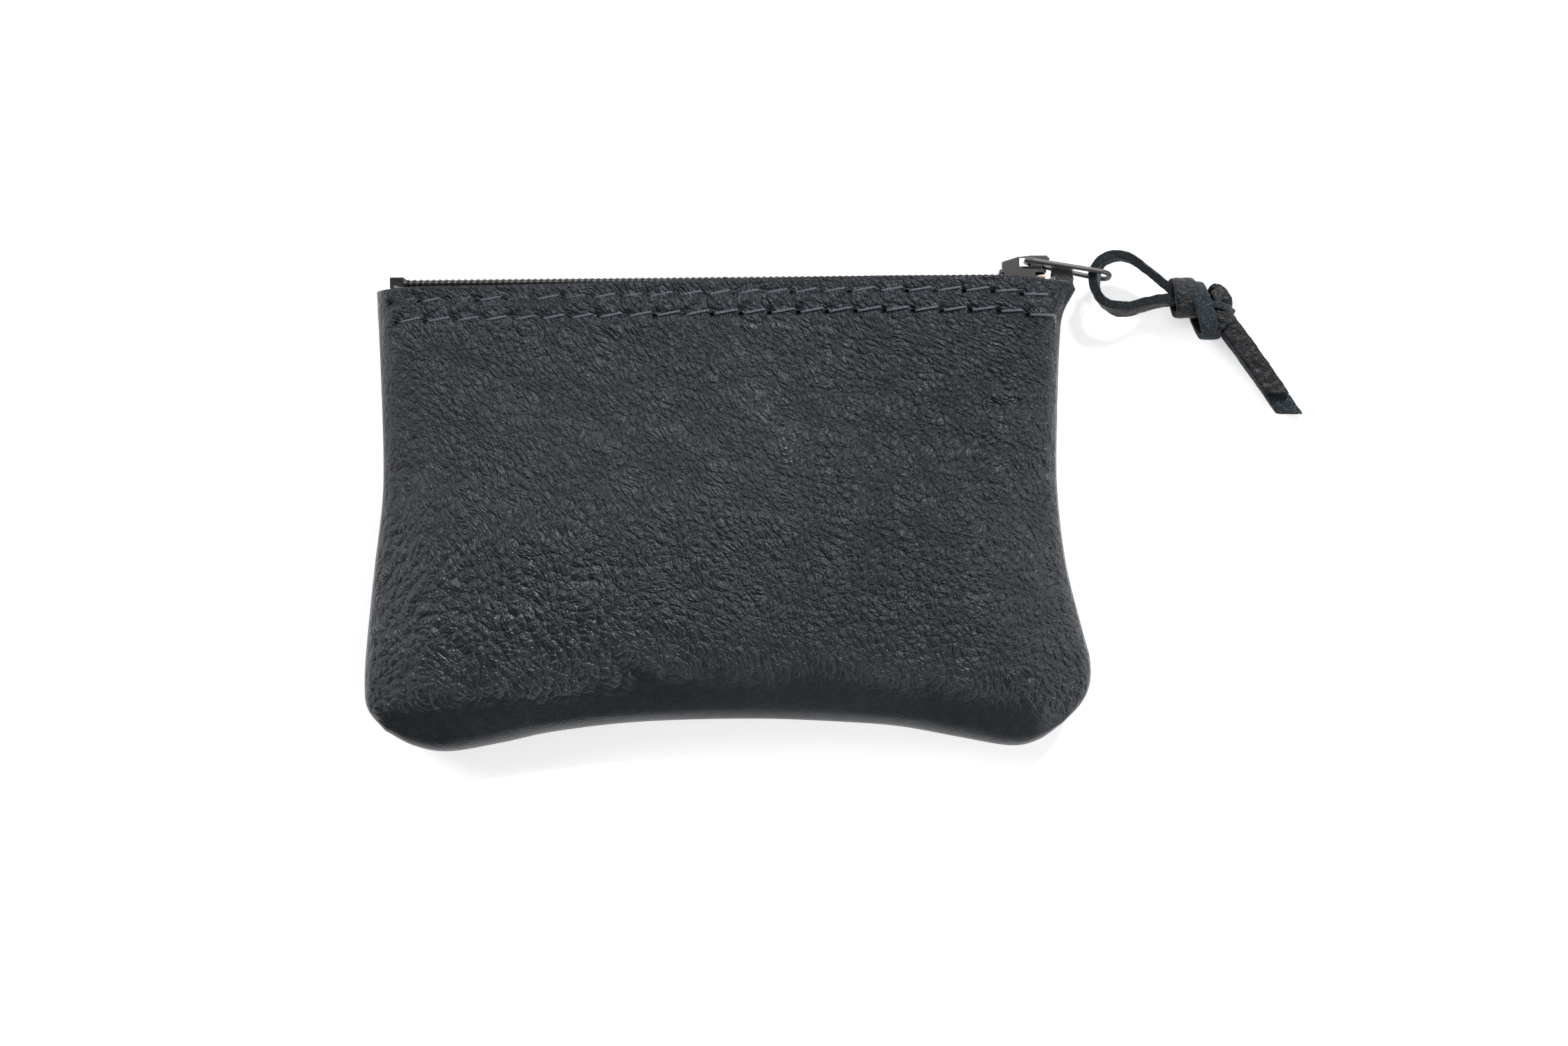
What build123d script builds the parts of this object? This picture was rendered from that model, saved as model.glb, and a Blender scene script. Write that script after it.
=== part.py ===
from build123d import *
import math
import os

# Zipped leather coin purse, lying on its back panel.
# +X runs along the zip towards its closed end, +Y towards the mouth, +Z up through the thickness.
# The origin is the middle of the flat area under the back panel. All sizes are in millimetres.

# ---- driving sizes: the leather body ----
MOUTH_HALF = 55.0        # half width at the mouth
HEIGHT = 73.6            # from the lowest point of the bottom corners to the mouth edge
WAIST_IN = 1.7           # how far the sides draw in below the mouth
WAIST_DROP = 31.8        # from the mouth edge down to the waist
BELLY_OUT = 2.3          # how far the sides swell beyond the mouth near the bottom
BELLY_RISE = 12.8        # from the lowest point up to the fullest width
BELLY_SPREAD = 20.0      # how far above and below that the belly fades out
CORNER_IN = 10.6         # from the end of the mouth in to the lowest point of a corner
CORNER_OUT = 8.6         # from there to the outer shoulder of the corner
CORNER_UP = 3.4
ARCH_RISE = 4.8          # how far the bottom edge rises in the middle
ARCH_RUN = 16.0          # from the corner to where the arch has mostly risen
ARCH_PART = 0.62         # the part of its rise that it has there
LEATHER = 1.2            # leather thickness
SEAM_Z = 6.0             # height of the plane where the two panels meet
PANEL_GAP = 0.3          # gap between the panels at that plane
EDGE_ROUND = 0.4         # how far the side seam stands above the leather's thickness
LIP_DEPTH = 5.2          # depth of a panel at the mouth, out to the grain side
FRONT_DEPTH = 9.0        # depth of the front panel at its fullest
BACK_DEPTH = 6.6         # depth of the back panel before the table flattens it
THIN_DROP = 40.8         # from the mouth edge down to where the panels begin to thin
BOTTOM_RISE = 17.0       # from the bottom seam to the full depth
BOTTOM_CURVE = 3
FLANGE = 4.5             # turned seam allowance
LIP_BAND = 9.5           # height of the straight band below the mouth edge
SQUARE_DROP = 30.8       # from the mouth edge down to where the ends begin to square up
END_STEEPNESS = 24       # how square the ends of the mouth are
BELLY_STEEPNESS = 5      # how square the belly is across its width
SEAM_INSET = 2.0         # from the edge to the hidden seam
FIT = 0.05               # clearance between parts that lie against each other

# ---- driving sizes: the zip ----
TAPE_THICK = 0.5
TAPE_DROP = 8.5          # how far the tape hangs down inside the lip
TAPE_BELOW_EDGE = 0.5    # from the mouth edge down to the tape
TAPE_GAP = 0.45          # from the seam plane to the tape's inner edge
TAPE_INSET = 2.4         # from the end of the mouth to the end of the tape
TURN_LENGTH = 2.2        # the tape's turned-up end at the closed end of the zip
TURN_OVERHANG = 0.5
TURN_RISE = 2.2
TURN_INNER, TURN_OUTER = 0.15, 0.9
TURN_CLEAR = 0.3         # from the closed slider to the turned-up end
START_RISE = 1.0         # the tape's turned-up end at the open end
START_TURN = 0.6
COIL_HEIGHT = 1.5
COIL_WIDTH = 1.6
COIL_GAP = 0.4           # from the seam plane to a coil
COIL_FLAT = 0.05         # how much flatter than round the coil is at its corners
COIL_START_INSET = 2.7   # from the end of the mouth to the start of the coil
COIL_WALL = 0.35
CORE_PLAY = 0.1          # between the coil and its filler cord
STOP_OVERHANG = 0.7      # bottom stop beyond the start of the coil
STOP_LENGTH = 2.2
STOP_WALL = 0.2
TOP_STOP_LENGTH = 1.8
TOP_STOP_GAP = 0.2       # from the end of the coil to its stop
TOP_STOP_CLEAR = 0.5     # from the stop to the turned-up end
TOP_STOP_ROUND = 0.4

# ---- driving sizes: the slider and its pull ----
SLIDER_LENGTH = 7.4
SLIDER_PLAY = 0.15       # between a coil and the slider's side wall
SLIDER_WALL = 0.55
SHOULDER = 0.7           # length of the tapered tail
NOSE_TAPER = 1.4
FLANGE_LENGTH = 4.9
PLATE_THICK = 0.5
LOWER_PLATE_THICK = 0.7
TAPE_SLOT = 0.3          # slider clearance above and below the tape
BRIDGE_WIDTH = 2.2
BRIDGE_START = 0.45      # bridge profile, each from the tail or above the top plate
BRIDGE_RISES = (1.3, 2.05)
BRIDGE_KNEE, BRIDGE_CREST = 2.9, 4.9
BRIDGE_ROUND, BRIDGE_CHAMFER = 0.2, 0.15
CAP_THICK = 0.3          # bridge cap over the window
WINDOW_LOW = 0.55
WINDOW_BEHIND, WINDOW_AHEAD = 1.15, 0.8
WINDOW_PLAY = 0.13       # between the wire and the top of the window
WIRE_THICK = 0.8
WIRE_HALF = 2.35         # from the middle of the pull to the middle of one leg
WIRE_LENGTH = 13.3
WIRE_SLOPE = -11.1       # degrees
WIRE_LEAN_NEAR, WIRE_LEAN_FAR = 0.1, 0.45
WIRE_END_GAP = 0.02      # half the gap between the wire's two ends
PIVOT_INSET = 3.05       # from the slider's nose back to the pull's pivot
PIVOT_RISE = 1.42        # pivot above the slider's top plate

# ---- driving sizes: stitches ----
STITCH_PITCH = 4.5
STITCH_GAP = 0.8
STITCH_SLANT = 8.0       # degrees
THREAD_THICK = 0.38
ROW_DROPS = {"upper": 2.1, "lower": 5.1}
STITCH_INSET = 3.0       # from the end of the mouth to the end of a row

# ---- driving sizes: the lace ----
LACE_WIDTH = 3.2
LACE_THICK = 1.4
LACE_TILT = 7.0          # degrees that the lace drops towards the table
LACE_HINGE = (59.3, 37.3)
WIRE_TIP_DRAWN = (60.6, 37.31)   # where the wire ends for the points below
LOOP_ROUTE = [
    (70.2, 35.6), (66.9, 38.4), (63.1, 41.0), (59.0, 40.0), (57.9, 36.6),
    (59.4, 33.0), (63.4, 31.7), (67.2, 33.2), (70.6, 33.55),
]
KNOT_BANDS = [
    ([(70.75, 35.9), (71.1, 36.6), (74.5, 36.9), (73.9, 30.7), (71.2, 31.9), (70.75, 32.9)], 5.4),
    ([(73.9, 36.2), (76.7, 35.8), (77.0, 29.6), (76.2, 27.9), (73.7, 30.5)], 6.0),
    ([(76.3, 35.4), (78.2, 35.2), (79.4, 32.2), (80.2, 30.4), (77.9, 27.5), (76.2, 28.4)], 5.2),
]
KNOT_ROUND = 0.5
TAIL_START = (79.7, 28.3)
TAIL_TURN = -53.0        # degrees
FRONT_TAIL = 12.6
BACK_TAIL = 15.4
TAIL_GAP = 0.1
TAIL_CUT = 1.6           # slant of the cut ends

mouth_y = HEIGHT / 2
corner_y = -HEIGHT / 2
waist_half, waist_y = MOUTH_HALF - WAIST_IN, mouth_y - WAIST_DROP
belly_half, belly_y = MOUTH_HALF + BELLY_OUT, corner_y + BELLY_RISE
corner_x = MOUTH_HALF - CORNER_IN
edge_depth = LEATHER + EDGE_ROUND
tape_top_y = mouth_y - TAPE_BELOW_EDGE
tape_end_x = MOUTH_HALF - TAPE_INSET
turn_end_x = tape_end_x + TURN_OVERHANG
turn_start_x = turn_end_x - TURN_LENGTH
coil_start_x = -MOUTH_HALF + COIL_START_INSET
coil_end_x = turn_start_x - TOP_STOP_CLEAR - TOP_STOP_LENGTH - TOP_STOP_GAP
coil_mid_y = tape_top_y + FIT + COIL_HEIGHT / 2
coil_top_y = tape_top_y + FIT + COIL_HEIGHT
coil_outer = COIL_GAP + COIL_WIDTH
slider_nose_x = turn_start_x - TURN_CLEAR
slider_tail_x = slider_nose_x - SLIDER_LENGTH
slider_half = coil_outer + SLIDER_PLAY + SLIDER_WALL
plate_top_y = coil_top_y + 2 * FIT + PLATE_THICK
pivot_x = slider_nose_x - PIVOT_INSET
pivot_y = plate_top_y + PIVOT_RISE
slope = math.radians(WIRE_SLOPE)
wire_tip = (pivot_x + WIRE_LENGTH * math.cos(slope), pivot_y + WIRE_LENGTH * math.sin(slope))


def ease(value, start, end):
    """0 before start, 1 after end, smooth between."""
    t = min(1.0, max(0.0, (value - start) / (end - start)))
    return t * t * (3 - 2 * t)


def outline(inset=0.0):
    """The purse seen from the front, with its edge moved in by inset."""
    side = [
        (MOUTH_HALF, mouth_y),
        (waist_half, waist_y),
        (belly_half, belly_y),
        (corner_x + CORNER_OUT, corner_y + CORNER_UP),
        (corner_x, corner_y),
        (corner_x - ARCH_RUN, corner_y + ARCH_PART * ARCH_RISE),
        (0.0, corner_y + ARCH_RISE),
    ]
    right = Spline(*side, tangents=((-0.08, -1), (-1, 0)))
    if inset:
        steps = 36
        moved = []
        for i in range(steps + 1):
            along = right % (i / steps)
            moved.append(right @ (i / steps) + Vector(along.Y, -along.X) * inset)
        right = Spline(*moved)
    left = mirror(right, about=Plane.YZ)
    top = Line(right @ 0, left @ 0)
    return make_face([right.edge(), left.edge(), top])


def half_width(y):
    """Half width that the height of a panel is worked out from."""
    belly = math.exp(-(((y - belly_y) / BELLY_SPREAD) ** 2))
    upper = ease(y, waist_y, mouth_y - LIP_BAND)
    return waist_half + (belly_half - waist_half) * belly + (MOUTH_HALF - waist_half) * upper


def lip_depth(x):
    """Depth of a panel along the mouth."""
    return edge_depth + (LIP_DEPTH - edge_depth) * (1 - min(1.0, abs(x) / MOUTH_HALF) ** END_STEEPNESS)


def panel_depth(x, y, fullest):
    """Distance from the seam plane to the grain side of a panel."""
    band = ease(y, mouth_y - SQUARE_DROP, mouth_y - LIP_BAND)
    steepness = BELLY_STEEPNESS + (END_STEEPNESS - BELLY_STEEPNESS) * band
    across = 1 - min(1.0, abs(x) / half_width(y)) ** steepness
    bottom = corner_y + ARCH_RISE * (1 - min(1.0, abs(x) / corner_x) ** 2)
    along = 1 - (1 - min(1.0, max(0.0, (y - bottom) / BOTTOM_RISE))) ** BOTTOM_CURVE
    peak = LIP_DEPTH + (fullest - LIP_DEPTH) * (1 - ease(y, mouth_y - THIN_DROP, mouth_y - LIP_BAND))
    return edge_depth + (peak - edge_depth) * across * along


def under_surface(fullest, lowered=0.0):
    """The solid below a panel's curved surface, which is lowered by the given amount."""
    reach_x, reach_y = belly_half + 3.7, mouth_y + 6
    columns, rows = 61, 45
    points = []
    for i in range(columns):
        x = reach_x * math.sin(math.pi * (i / (columns - 1) - 0.5))
        row = [-reach_y + 2 * reach_y * j / (rows - 1) for j in range(rows)]
        points.append([Vector(x, y, panel_depth(x, y, fullest) - lowered) for y in row])
    surface = Face.make_surface_from_array_of_points(points, tol=0.02, min_deg=3, max_deg=5)
    return extrude(surface, amount=30, dir=(0, 0, -1))


def below_band(shape):
    """The part of a flat shape that lies below the straight band at the mouth."""
    height = 2 * (mouth_y - corner_y)
    return shape & Pos(0, mouth_y - LIP_BAND - height / 2) * Rectangle(4 * belly_half, height)


def panel(fullest, flat_depth=20.0):
    """One leather panel above the seam plane: skin, rim and turned allowance, open at the mouth.

    Beyond flat_depth the panel is pressed flat by whatever it lies on."""
    start = PANEL_GAP / 2
    raised = Pos(0, 0, start)
    body = raised * extrude(outline(), amount=flat_depth - start) & under_surface(fullest)
    inner = outline(LEATHER)
    mouth = Pos(0, mouth_y) * Rectangle(2 * (MOUTH_HALF - LEATHER), 4 * LEATHER)
    cavity = raised * extrude(inner + mouth, amount=flat_depth - LEATHER - start)
    cavity = cavity & under_surface(fullest, LEATHER)
    strip = outline() - outline(LEATHER + FLANGE)
    allowance = raised * extrude(below_band(strip), amount=LEATHER)
    return body - cavity + (allowance & body)


def front(shape):
    """Moves a shape made above the seam plane to the front half of the purse."""
    return Pos(0, 0, SEAM_Z) * shape


def back(shape):
    """Mirrors a shape made above the seam plane to the back half of the purse."""
    return Pos(0, 0, SEAM_Z) * mirror(shape, about=Plane.XY)


def save(shape, name):
    shape.label = name
    export_step(shape, f"parts/{name}.step")


def block(x_from, x_to, y_from, y_to, z_from, z_to):
    """A box given by its limits."""
    sides = (x_to - x_from, y_to - y_from, z_to - z_from)
    return Pos(x_from, y_from, z_from) * Box(*sides, align=(Align.MIN, Align.MIN, Align.MIN))


# ---- leather body ----
def seam_thread():
    """The hidden seam down the sides and along the bottom, between the two turned allowances."""
    thick = PANEL_GAP - 2 * FIT
    ring = outline(SEAM_INSET) - outline(SEAM_INSET + thick)
    return Pos(0, 0, SEAM_Z - thick / 2) * extrude(below_band(ring), amount=thick)


def stitch(x, row_y, depth_side):
    """One slanted stitch lying on the grain side of the lip, depth_side being +1 front, -1 back."""
    half = (STITCH_PITCH - STITCH_GAP) / 2
    rise = half * math.tan(math.radians(STITCH_SLANT))
    radius = THREAD_THICK / 2
    bow = lip_depth(x) - (lip_depth(x - half) + lip_depth(x + half)) / 2
    ends = []
    for step in (-1, 1):
        end_x = x + step * half
        depth = lip_depth(end_x) + max(0.0, bow) + radius + FIT
        ends.append(Vector(end_x, row_y + step * rise, SEAM_Z + depth_side * depth))
    run = ends[1] - ends[0]
    return Plane(origin=ends[0], z_dir=run) * Cylinder(
        radius, run.length, align=(Align.CENTER, Align.CENTER, Align.MIN)
    )


def stitch_row(row_y, depth_side):
    count = int(2 * (MOUTH_HALF - STITCH_INSET) / STITCH_PITCH)
    start = -STITCH_PITCH * (count - 1) / 2
    return Compound(children=[stitch(start + i * STITCH_PITCH, row_y, depth_side) for i in range(count)])


# ---- zip ----
def tape():
    """One tape above the seam plane: flat under the coil, then down inside the lip, its ends turned up."""
    steps = 20
    edge = []
    for i in range(steps + 1):
        x = tape_end_x * math.sin(math.pi * (i / steps - 0.5))
        edge.append((x, lip_depth(x) - LEATHER - FIT))
    profile = Plane.XZ.offset(-tape_top_y)
    far = Spline(*edge)
    near = Polyline(edge[-1], (tape_end_x, TAPE_GAP), (-tape_end_x, TAPE_GAP), edge[0])
    flat = extrude(profile * make_face([far, *near.edges()]), amount=TAPE_THICK)
    inner = [(x, z - TAPE_THICK) for x, z in edge]
    sides = Polyline(edge[-1], inner[-1]), Polyline(inner[0], edge[0])
    hung_face = make_face([far, sides[0].edge(), Spline(*inner), sides[1].edge()])
    hung = extrude(profile * hung_face, amount=TAPE_DROP)
    start_turn_x = coil_start_x - 2 * FIT
    ends = [
        (start_turn_x - START_TURN, start_turn_x, START_RISE),
        (turn_start_x, turn_end_x, TURN_RISE),
    ]
    low = tape_top_y - TAPE_THICK
    tape_solid = flat + hung
    for x_from, x_to, rise in ends:
        tape_solid += block(x_from, x_to, low, tape_top_y + rise, TURN_INNER, TURN_OUTER)
    return tape_solid


def coil():
    """One side's coil as a hollow oval rod."""
    place = Plane(
        origin=(coil_start_x, coil_mid_y, COIL_GAP + COIL_WIDTH / 2), x_dir=(0, 1, 0), z_dir=(1, 0, 0)
    )
    corner = min(COIL_HEIGHT, COIL_WIDTH) / 2 - COIL_FLAT
    outside = RectangleRounded(COIL_HEIGHT, COIL_WIDTH, corner)
    inside = RectangleRounded(COIL_HEIGHT - 2 * COIL_WALL, COIL_WIDTH - 2 * COIL_WALL, corner - COIL_WALL)
    return extrude(place * (outside - inside), amount=coil_end_x - coil_start_x)


def core_cord():
    """The filler cord that the coil is wound and sewn around."""
    radius = COIL_HEIGHT / 2 - COIL_WALL - CORE_PLAY
    place = Plane(origin=(coil_start_x, coil_mid_y, COIL_GAP + COIL_WIDTH / 2), z_dir=(1, 0, 0))
    rod = Cylinder(radius, coil_end_x - coil_start_x, align=(Align.CENTER, Align.CENTER, Align.MIN))
    return place * rod


def bottom_stop():
    """A staple over both coils at the open end of the zip."""
    half = coil_outer + FIT
    under, over = tape_top_y + FIT, coil_top_y + FIT
    start_x = coil_start_x - STOP_OVERHANG
    end_x = start_x + STOP_LENGTH
    outer = block(start_x, end_x, under, over + STOP_WALL, -half - STOP_WALL, half + STOP_WALL)
    inner = block(start_x - 1, end_x + 1, under - 1, over, -half, half)
    return Pos(0, 0, SEAM_Z) * (outer - inner)


def top_stop():
    """A clip at the end of one coil, above the seam plane."""
    start_x = coil_end_x + TOP_STOP_GAP
    low, high = tape_top_y + FIT, coil_top_y - FIT
    clip = block(start_x, start_x + TOP_STOP_LENGTH, low, high, TAPE_GAP + FIT, coil_outer)
    return fillet(clip.edges().filter_by(Axis.X), TOP_STOP_ROUND)


# ---- slider and pull ----
def slider_body():
    """Two plates, side flanges, the wedge that parts the teeth, and the bridge that holds the pull."""
    tail_half, nose_half = slider_half - 0.4, slider_half - 1.3
    shoulder_x, taper_x = slider_tail_x + SHOULDER, slider_nose_x - NOSE_TAPER
    plan = [
        (slider_tail_x, tail_half), (shoulder_x, slider_half), (taper_x, slider_half),
        (slider_nose_x, nose_half), (slider_nose_x, -nose_half), (taper_x, -slider_half),
        (shoulder_x, -slider_half), (slider_tail_x, -tail_half),
    ]
    under_top = tape_top_y - TAPE_THICK - TAPE_SLOT
    plate_shape = make_face(Polyline(*plan, close=True))
    body = extrude(Plane.XZ.offset(-plate_top_y) * plate_shape, amount=PLATE_THICK)
    body += extrude(Plane.XZ.offset(-under_top) * plate_shape, amount=LOWER_PLATE_THICK)
    flange_low = tape_top_y + TAPE_SLOT
    for side in (-1, 1):
        inner, outer = sorted((side * (slider_half - SLIDER_WALL), side * slider_half))
        body += block(shoulder_x, shoulder_x + FLANGE_LENGTH, flange_low, plate_top_y, inner, outer)
    wedge_half = TAPE_GAP - 3 * FIT
    wedge = (coil_end_x + 2 * FIT, slider_nose_x - 0.3)
    wedge_ends = (under_top - 0.1, plate_top_y - PLATE_THICK + 0.1)
    body += block(*wedge, *wedge_ends, -wedge_half, wedge_half)
    window_top = pivot_y + WIRE_THICK / 2 + WINDOW_PLAY
    cap_y, sunk_y = window_top + CAP_THICK, plate_top_y - 0.1
    start_x = slider_tail_x + BRIDGE_START
    side_view = Polyline(
        (start_x, sunk_y), (start_x, plate_top_y + BRIDGE_RISES[0]),
        (slider_tail_x + BRIDGE_KNEE, plate_top_y + BRIDGE_RISES[1]), (slider_tail_x + BRIDGE_CREST, cap_y),
        (slider_nose_x + 0.1, cap_y), (slider_nose_x + 0.6, cap_y - 0.5),
        (slider_nose_x + 0.5, cap_y - 0.95), (slider_nose_x - 0.4, cap_y - 1.05),
        (slider_nose_x - 0.8, sunk_y), close=True,
    )
    side_face = make_face(side_view)
    side_face = fillet(side_face.vertices().sort_by(Axis.Y)[2:], BRIDGE_ROUND)
    bridge = extrude(side_face, amount=BRIDGE_WIDTH / 2, both=True)
    bridge = chamfer(bridge.faces().filter_by(Axis.Z).edges(), BRIDGE_CHAMFER)
    window = block(
        pivot_x - WINDOW_BEHIND, pivot_x + WINDOW_AHEAD, plate_top_y + WINDOW_LOW, window_top,
        -slider_half, slider_half,
    )
    return Pos(0, 0, SEAM_Z) * (body + (bridge - window))


def pull_wire():
    """A long wire loop, its ends meeting in the bridge window, that leans more towards its far end."""
    near, far = WIRE_LEAN_NEAR, WIRE_LEAN_FAR
    route = [
        (0, 0, WIRE_END_GAP), (0, near, WIRE_HALF), (WIRE_LENGTH, far, WIRE_HALF),
        (WIRE_LENGTH, -far, -WIRE_HALF), (0, -near, -WIRE_HALF), (0, 0, -WIRE_END_GAP),
    ]
    path = FilletPolyline(*route, radius=[0.9, 1.8, 1.8, 0.9])
    start = Plane(origin=path @ 0, z_dir=path % 0)
    wire = sweep(start * Circle(WIRE_THICK / 2), path=path)
    return Pos(pivot_x, pivot_y, SEAM_Z) * Rot(0, 0, WIRE_SLOPE) * wire


# ---- lace ----
def lace_place(shape):
    """Tilts a shape drawn level so that the lace's far end drops to the table, and hangs it on the wire."""
    hinge = Pos(LACE_HINGE[0], LACE_HINGE[1], SEAM_Z)
    tilted = hinge * Rot(0, LACE_TILT, 0) * Pos(-LACE_HINGE[0], -LACE_HINGE[1], 0) * shape
    return Pos(wire_tip[0] - WIRE_TIP_DRAWN[0], wire_tip[1] - WIRE_TIP_DRAWN[1], 0) * tilted


def route_radii(route):
    """For each corner, 0.45 of its shorter run divided by the tangent of half its turn."""
    points = [Vector(*p) for p in route]
    radii = []
    for before, corner, after in zip(points, points[1:], points[2:]):
        arriving, leaving = corner - before, after - corner
        half_turn = math.radians(arriving.get_angle(leaving)) / 2
        radii.append(0.45 * min(arriving.length, leaving.length) / math.tan(half_turn))
    return radii


def lace_loop():
    """The lace's loop through the end of the wire, standing on its edge."""
    radii = route_radii(LOOP_ROUTE)
    print("lace loop radii:", [round(r, 2) for r in radii])
    path = FilletPolyline(*LOOP_ROUTE, radius=radii)
    print("lace loop length:", round(path.length, 2))
    section = Plane(origin=path @ 0, z_dir=path % 0, x_dir=(0, 0, 1)) * Rectangle(LACE_WIDTH, LACE_THICK)
    return lace_place(sweep(section, path=path))


def lace_knot():
    """The overhand knot as the three wraps that show, side by side."""
    knot = None
    for corners, thick in KNOT_BANDS:
        wrap = extrude(make_face(Polyline(*corners, close=True)), amount=thick / 2, both=True)
        wrap = fillet(wrap.edges().filter_by(Plane.XY), KNOT_ROUND)
        knot = wrap if knot is None else knot + wrap
    return lace_place(knot)


def lace_tail(length, z_low):
    """One flat tail of the lace, cut at a slant."""
    half = LACE_WIDTH / 2
    strip = Polyline((0, half), (length + TAIL_CUT, half), (length, -half), (0, -half), close=True)
    tail = extrude(make_face(strip), amount=LACE_THICK)
    return lace_place(Pos(*TAIL_START, z_low) * Rot(0, 0, TAIL_TURN) * tail)


os.makedirs("parts", exist_ok=True)

save(front(panel(FRONT_DEPTH)), "front_panel")
save(back(panel(BACK_DEPTH, SEAM_Z)), "back_panel")
save(seam_thread(), "seam_thread")
for row, drop in ROW_DROPS.items():
    save(stitch_row(mouth_y - drop, 1), f"stitches_front_{row}")
    save(stitch_row(mouth_y - drop, -1), f"stitches_back_{row}")

for half, place in (("front", front), ("back", back)):
    save(place(tape()), f"zip_tape_{half}")
    save(place(coil()), f"zip_coil_{half}")
    save(place(core_cord()), f"zip_core_{half}")
    save(place(top_stop()), f"top_stop_{half}")
save(bottom_stop(), "bottom_stop")

save(slider_body(), "slider_body")
save(pull_wire(), "pull_wire")

save(lace_loop(), "lace_loop")
save(lace_knot(), "lace_knot")
save(lace_tail(FRONT_TAIL, TAIL_GAP / 2), "lace_tail_front")
save(lace_tail(BACK_TAIL, -TAIL_GAP / 2 - LACE_THICK), "lace_tail_back")
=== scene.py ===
"""Looks of a zipped leather coin purse lying on its back panel: leather, zip, slider, pull and knotted lace."""

import math

import bpy
import numpy as np
from bpy.props import FloatProperty, FloatVectorProperty, IntProperty, PointerProperty
from mathutils import Matrix, Vector, noise


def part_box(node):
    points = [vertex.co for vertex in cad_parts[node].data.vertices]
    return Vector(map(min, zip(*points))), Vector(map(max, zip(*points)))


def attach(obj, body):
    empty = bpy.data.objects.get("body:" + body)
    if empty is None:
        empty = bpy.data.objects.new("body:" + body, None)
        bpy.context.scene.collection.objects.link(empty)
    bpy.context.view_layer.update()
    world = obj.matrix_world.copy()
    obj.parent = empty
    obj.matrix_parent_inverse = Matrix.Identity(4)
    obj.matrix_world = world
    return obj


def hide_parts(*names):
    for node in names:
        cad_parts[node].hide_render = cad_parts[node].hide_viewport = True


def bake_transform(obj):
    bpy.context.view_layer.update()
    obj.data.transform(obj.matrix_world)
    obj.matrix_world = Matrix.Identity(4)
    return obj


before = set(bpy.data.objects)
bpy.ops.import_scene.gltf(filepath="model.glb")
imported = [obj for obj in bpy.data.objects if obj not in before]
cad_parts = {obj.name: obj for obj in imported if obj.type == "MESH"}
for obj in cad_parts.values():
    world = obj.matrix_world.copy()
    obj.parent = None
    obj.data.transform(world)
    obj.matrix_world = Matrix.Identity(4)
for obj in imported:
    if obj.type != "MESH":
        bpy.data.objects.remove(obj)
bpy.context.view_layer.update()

bl_info = {
    "name": "Leather coin purse",
    "version": (1, 0, 0),
    "blender": (4, 5, 0),
    "location": "3D View > Sidebar > Purse",
    "description": "Makes the leather, zip, slider, pull and lace of a small zipped purse",
    "category": "Add Mesh",
}

MM = 0.001

front_low, front_high = (Vector(corner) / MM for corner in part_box("front_panel"))
back_low, back_high = (Vector(corner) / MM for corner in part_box("back_panel"))
tape_low = Vector(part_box("zip_tape_front")[0]) / MM
coil_low, coil_high = (Vector(corner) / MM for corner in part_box("zip_coil_front"))
slider_high = Vector(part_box("slider_body")[1]) / MM

SEAM_Z = (front_low.z + back_high.z) / 2     # the plane where the two panels meet
MOUTH_Y = front_high.y
FRONT_DEPTH = front_high.z - SEAM_Z
BACK_DEPTH = SEAM_Z - back_low.z


# ---------------------------------------------------------------- settings
class PurseSizes(bpy.types.PropertyGroup):
    """Sizes that the purse's looks are made from."""

    leather: FloatProperty(
        name="Leather", description="Leather thickness in millimetres", default=1.2, min=0.5, max=3.0
    )
    lip_depth: FloatProperty(
        name="Lip depth", description="Half thickness of the mouth in millimetres", default=5.0, min=2.0, max=8.0
    )
    wrinkle: FloatProperty(
        name="Wrinkles", description="Strength of the wrinkles and puckers", default=1.0, min=0.0, max=3.0,
        subtype="FACTOR",
    )
    stitch_pitch: FloatProperty(
        name="Stitch pitch", description="Distance from stitch to stitch in millimetres", default=4.5
    )
    thread: FloatProperty(
        name="Thread", description="Thickness of the sewing thread in millimetres", default=0.42
    )
    coil_pitch: FloatProperty(
        name="Coil pitch", description="Distance from turn to turn of the zip's coil in millimetres", default=1.0
    )
    across: IntProperty(
        name="Faces across", description="Mesh faces across one panel", default=232, min=40, max=600
    )
    upward: IntProperty(
        name="Faces upward", description="Mesh faces from the seam to the mouth", default=156, min=30, max=400
    )


class PurseColours(bpy.types.PropertyGroup):
    """Colours of the purse's leather, thread and metal."""

    leather: FloatVectorProperty(
        name="Leather", description="Colour of the grain side", subtype="COLOR", size=3,
        default=(0.0090, 0.0096, 0.0120), min=0.0, max=1.0,
    )
    suede: FloatVectorProperty(
        name="Suede", description="Colour of the flesh side and the cut edges", subtype="COLOR", size=3,
        default=(0.022, 0.029, 0.034), min=0.0, max=1.0,
    )
    thread: FloatVectorProperty(
        name="Thread", description="Colour of the sewing thread", subtype="COLOR", size=3,
        default=(0.050, 0.060, 0.080), min=0.0, max=1.0,
    )
    metal: FloatVectorProperty(
        name="Gunmetal", description="Colour of the slider and the wire pull", subtype="COLOR", size=3,
        default=(0.042, 0.041, 0.043), min=0.0, max=1.0,
    )


def sizes():
    return bpy.context.scene.purse_sizes


def colours():
    return bpy.context.scene.purse_colours


# ---------------------------------------------------------------- small helpers
def ease(value, start, end):
    """0 before start, 1 after end, smooth between; works on numbers and arrays."""
    t = np.clip((value - start) / (end - start), 0.0, 1.0)
    return t * t * (3.0 - 2.0 * t)


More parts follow.
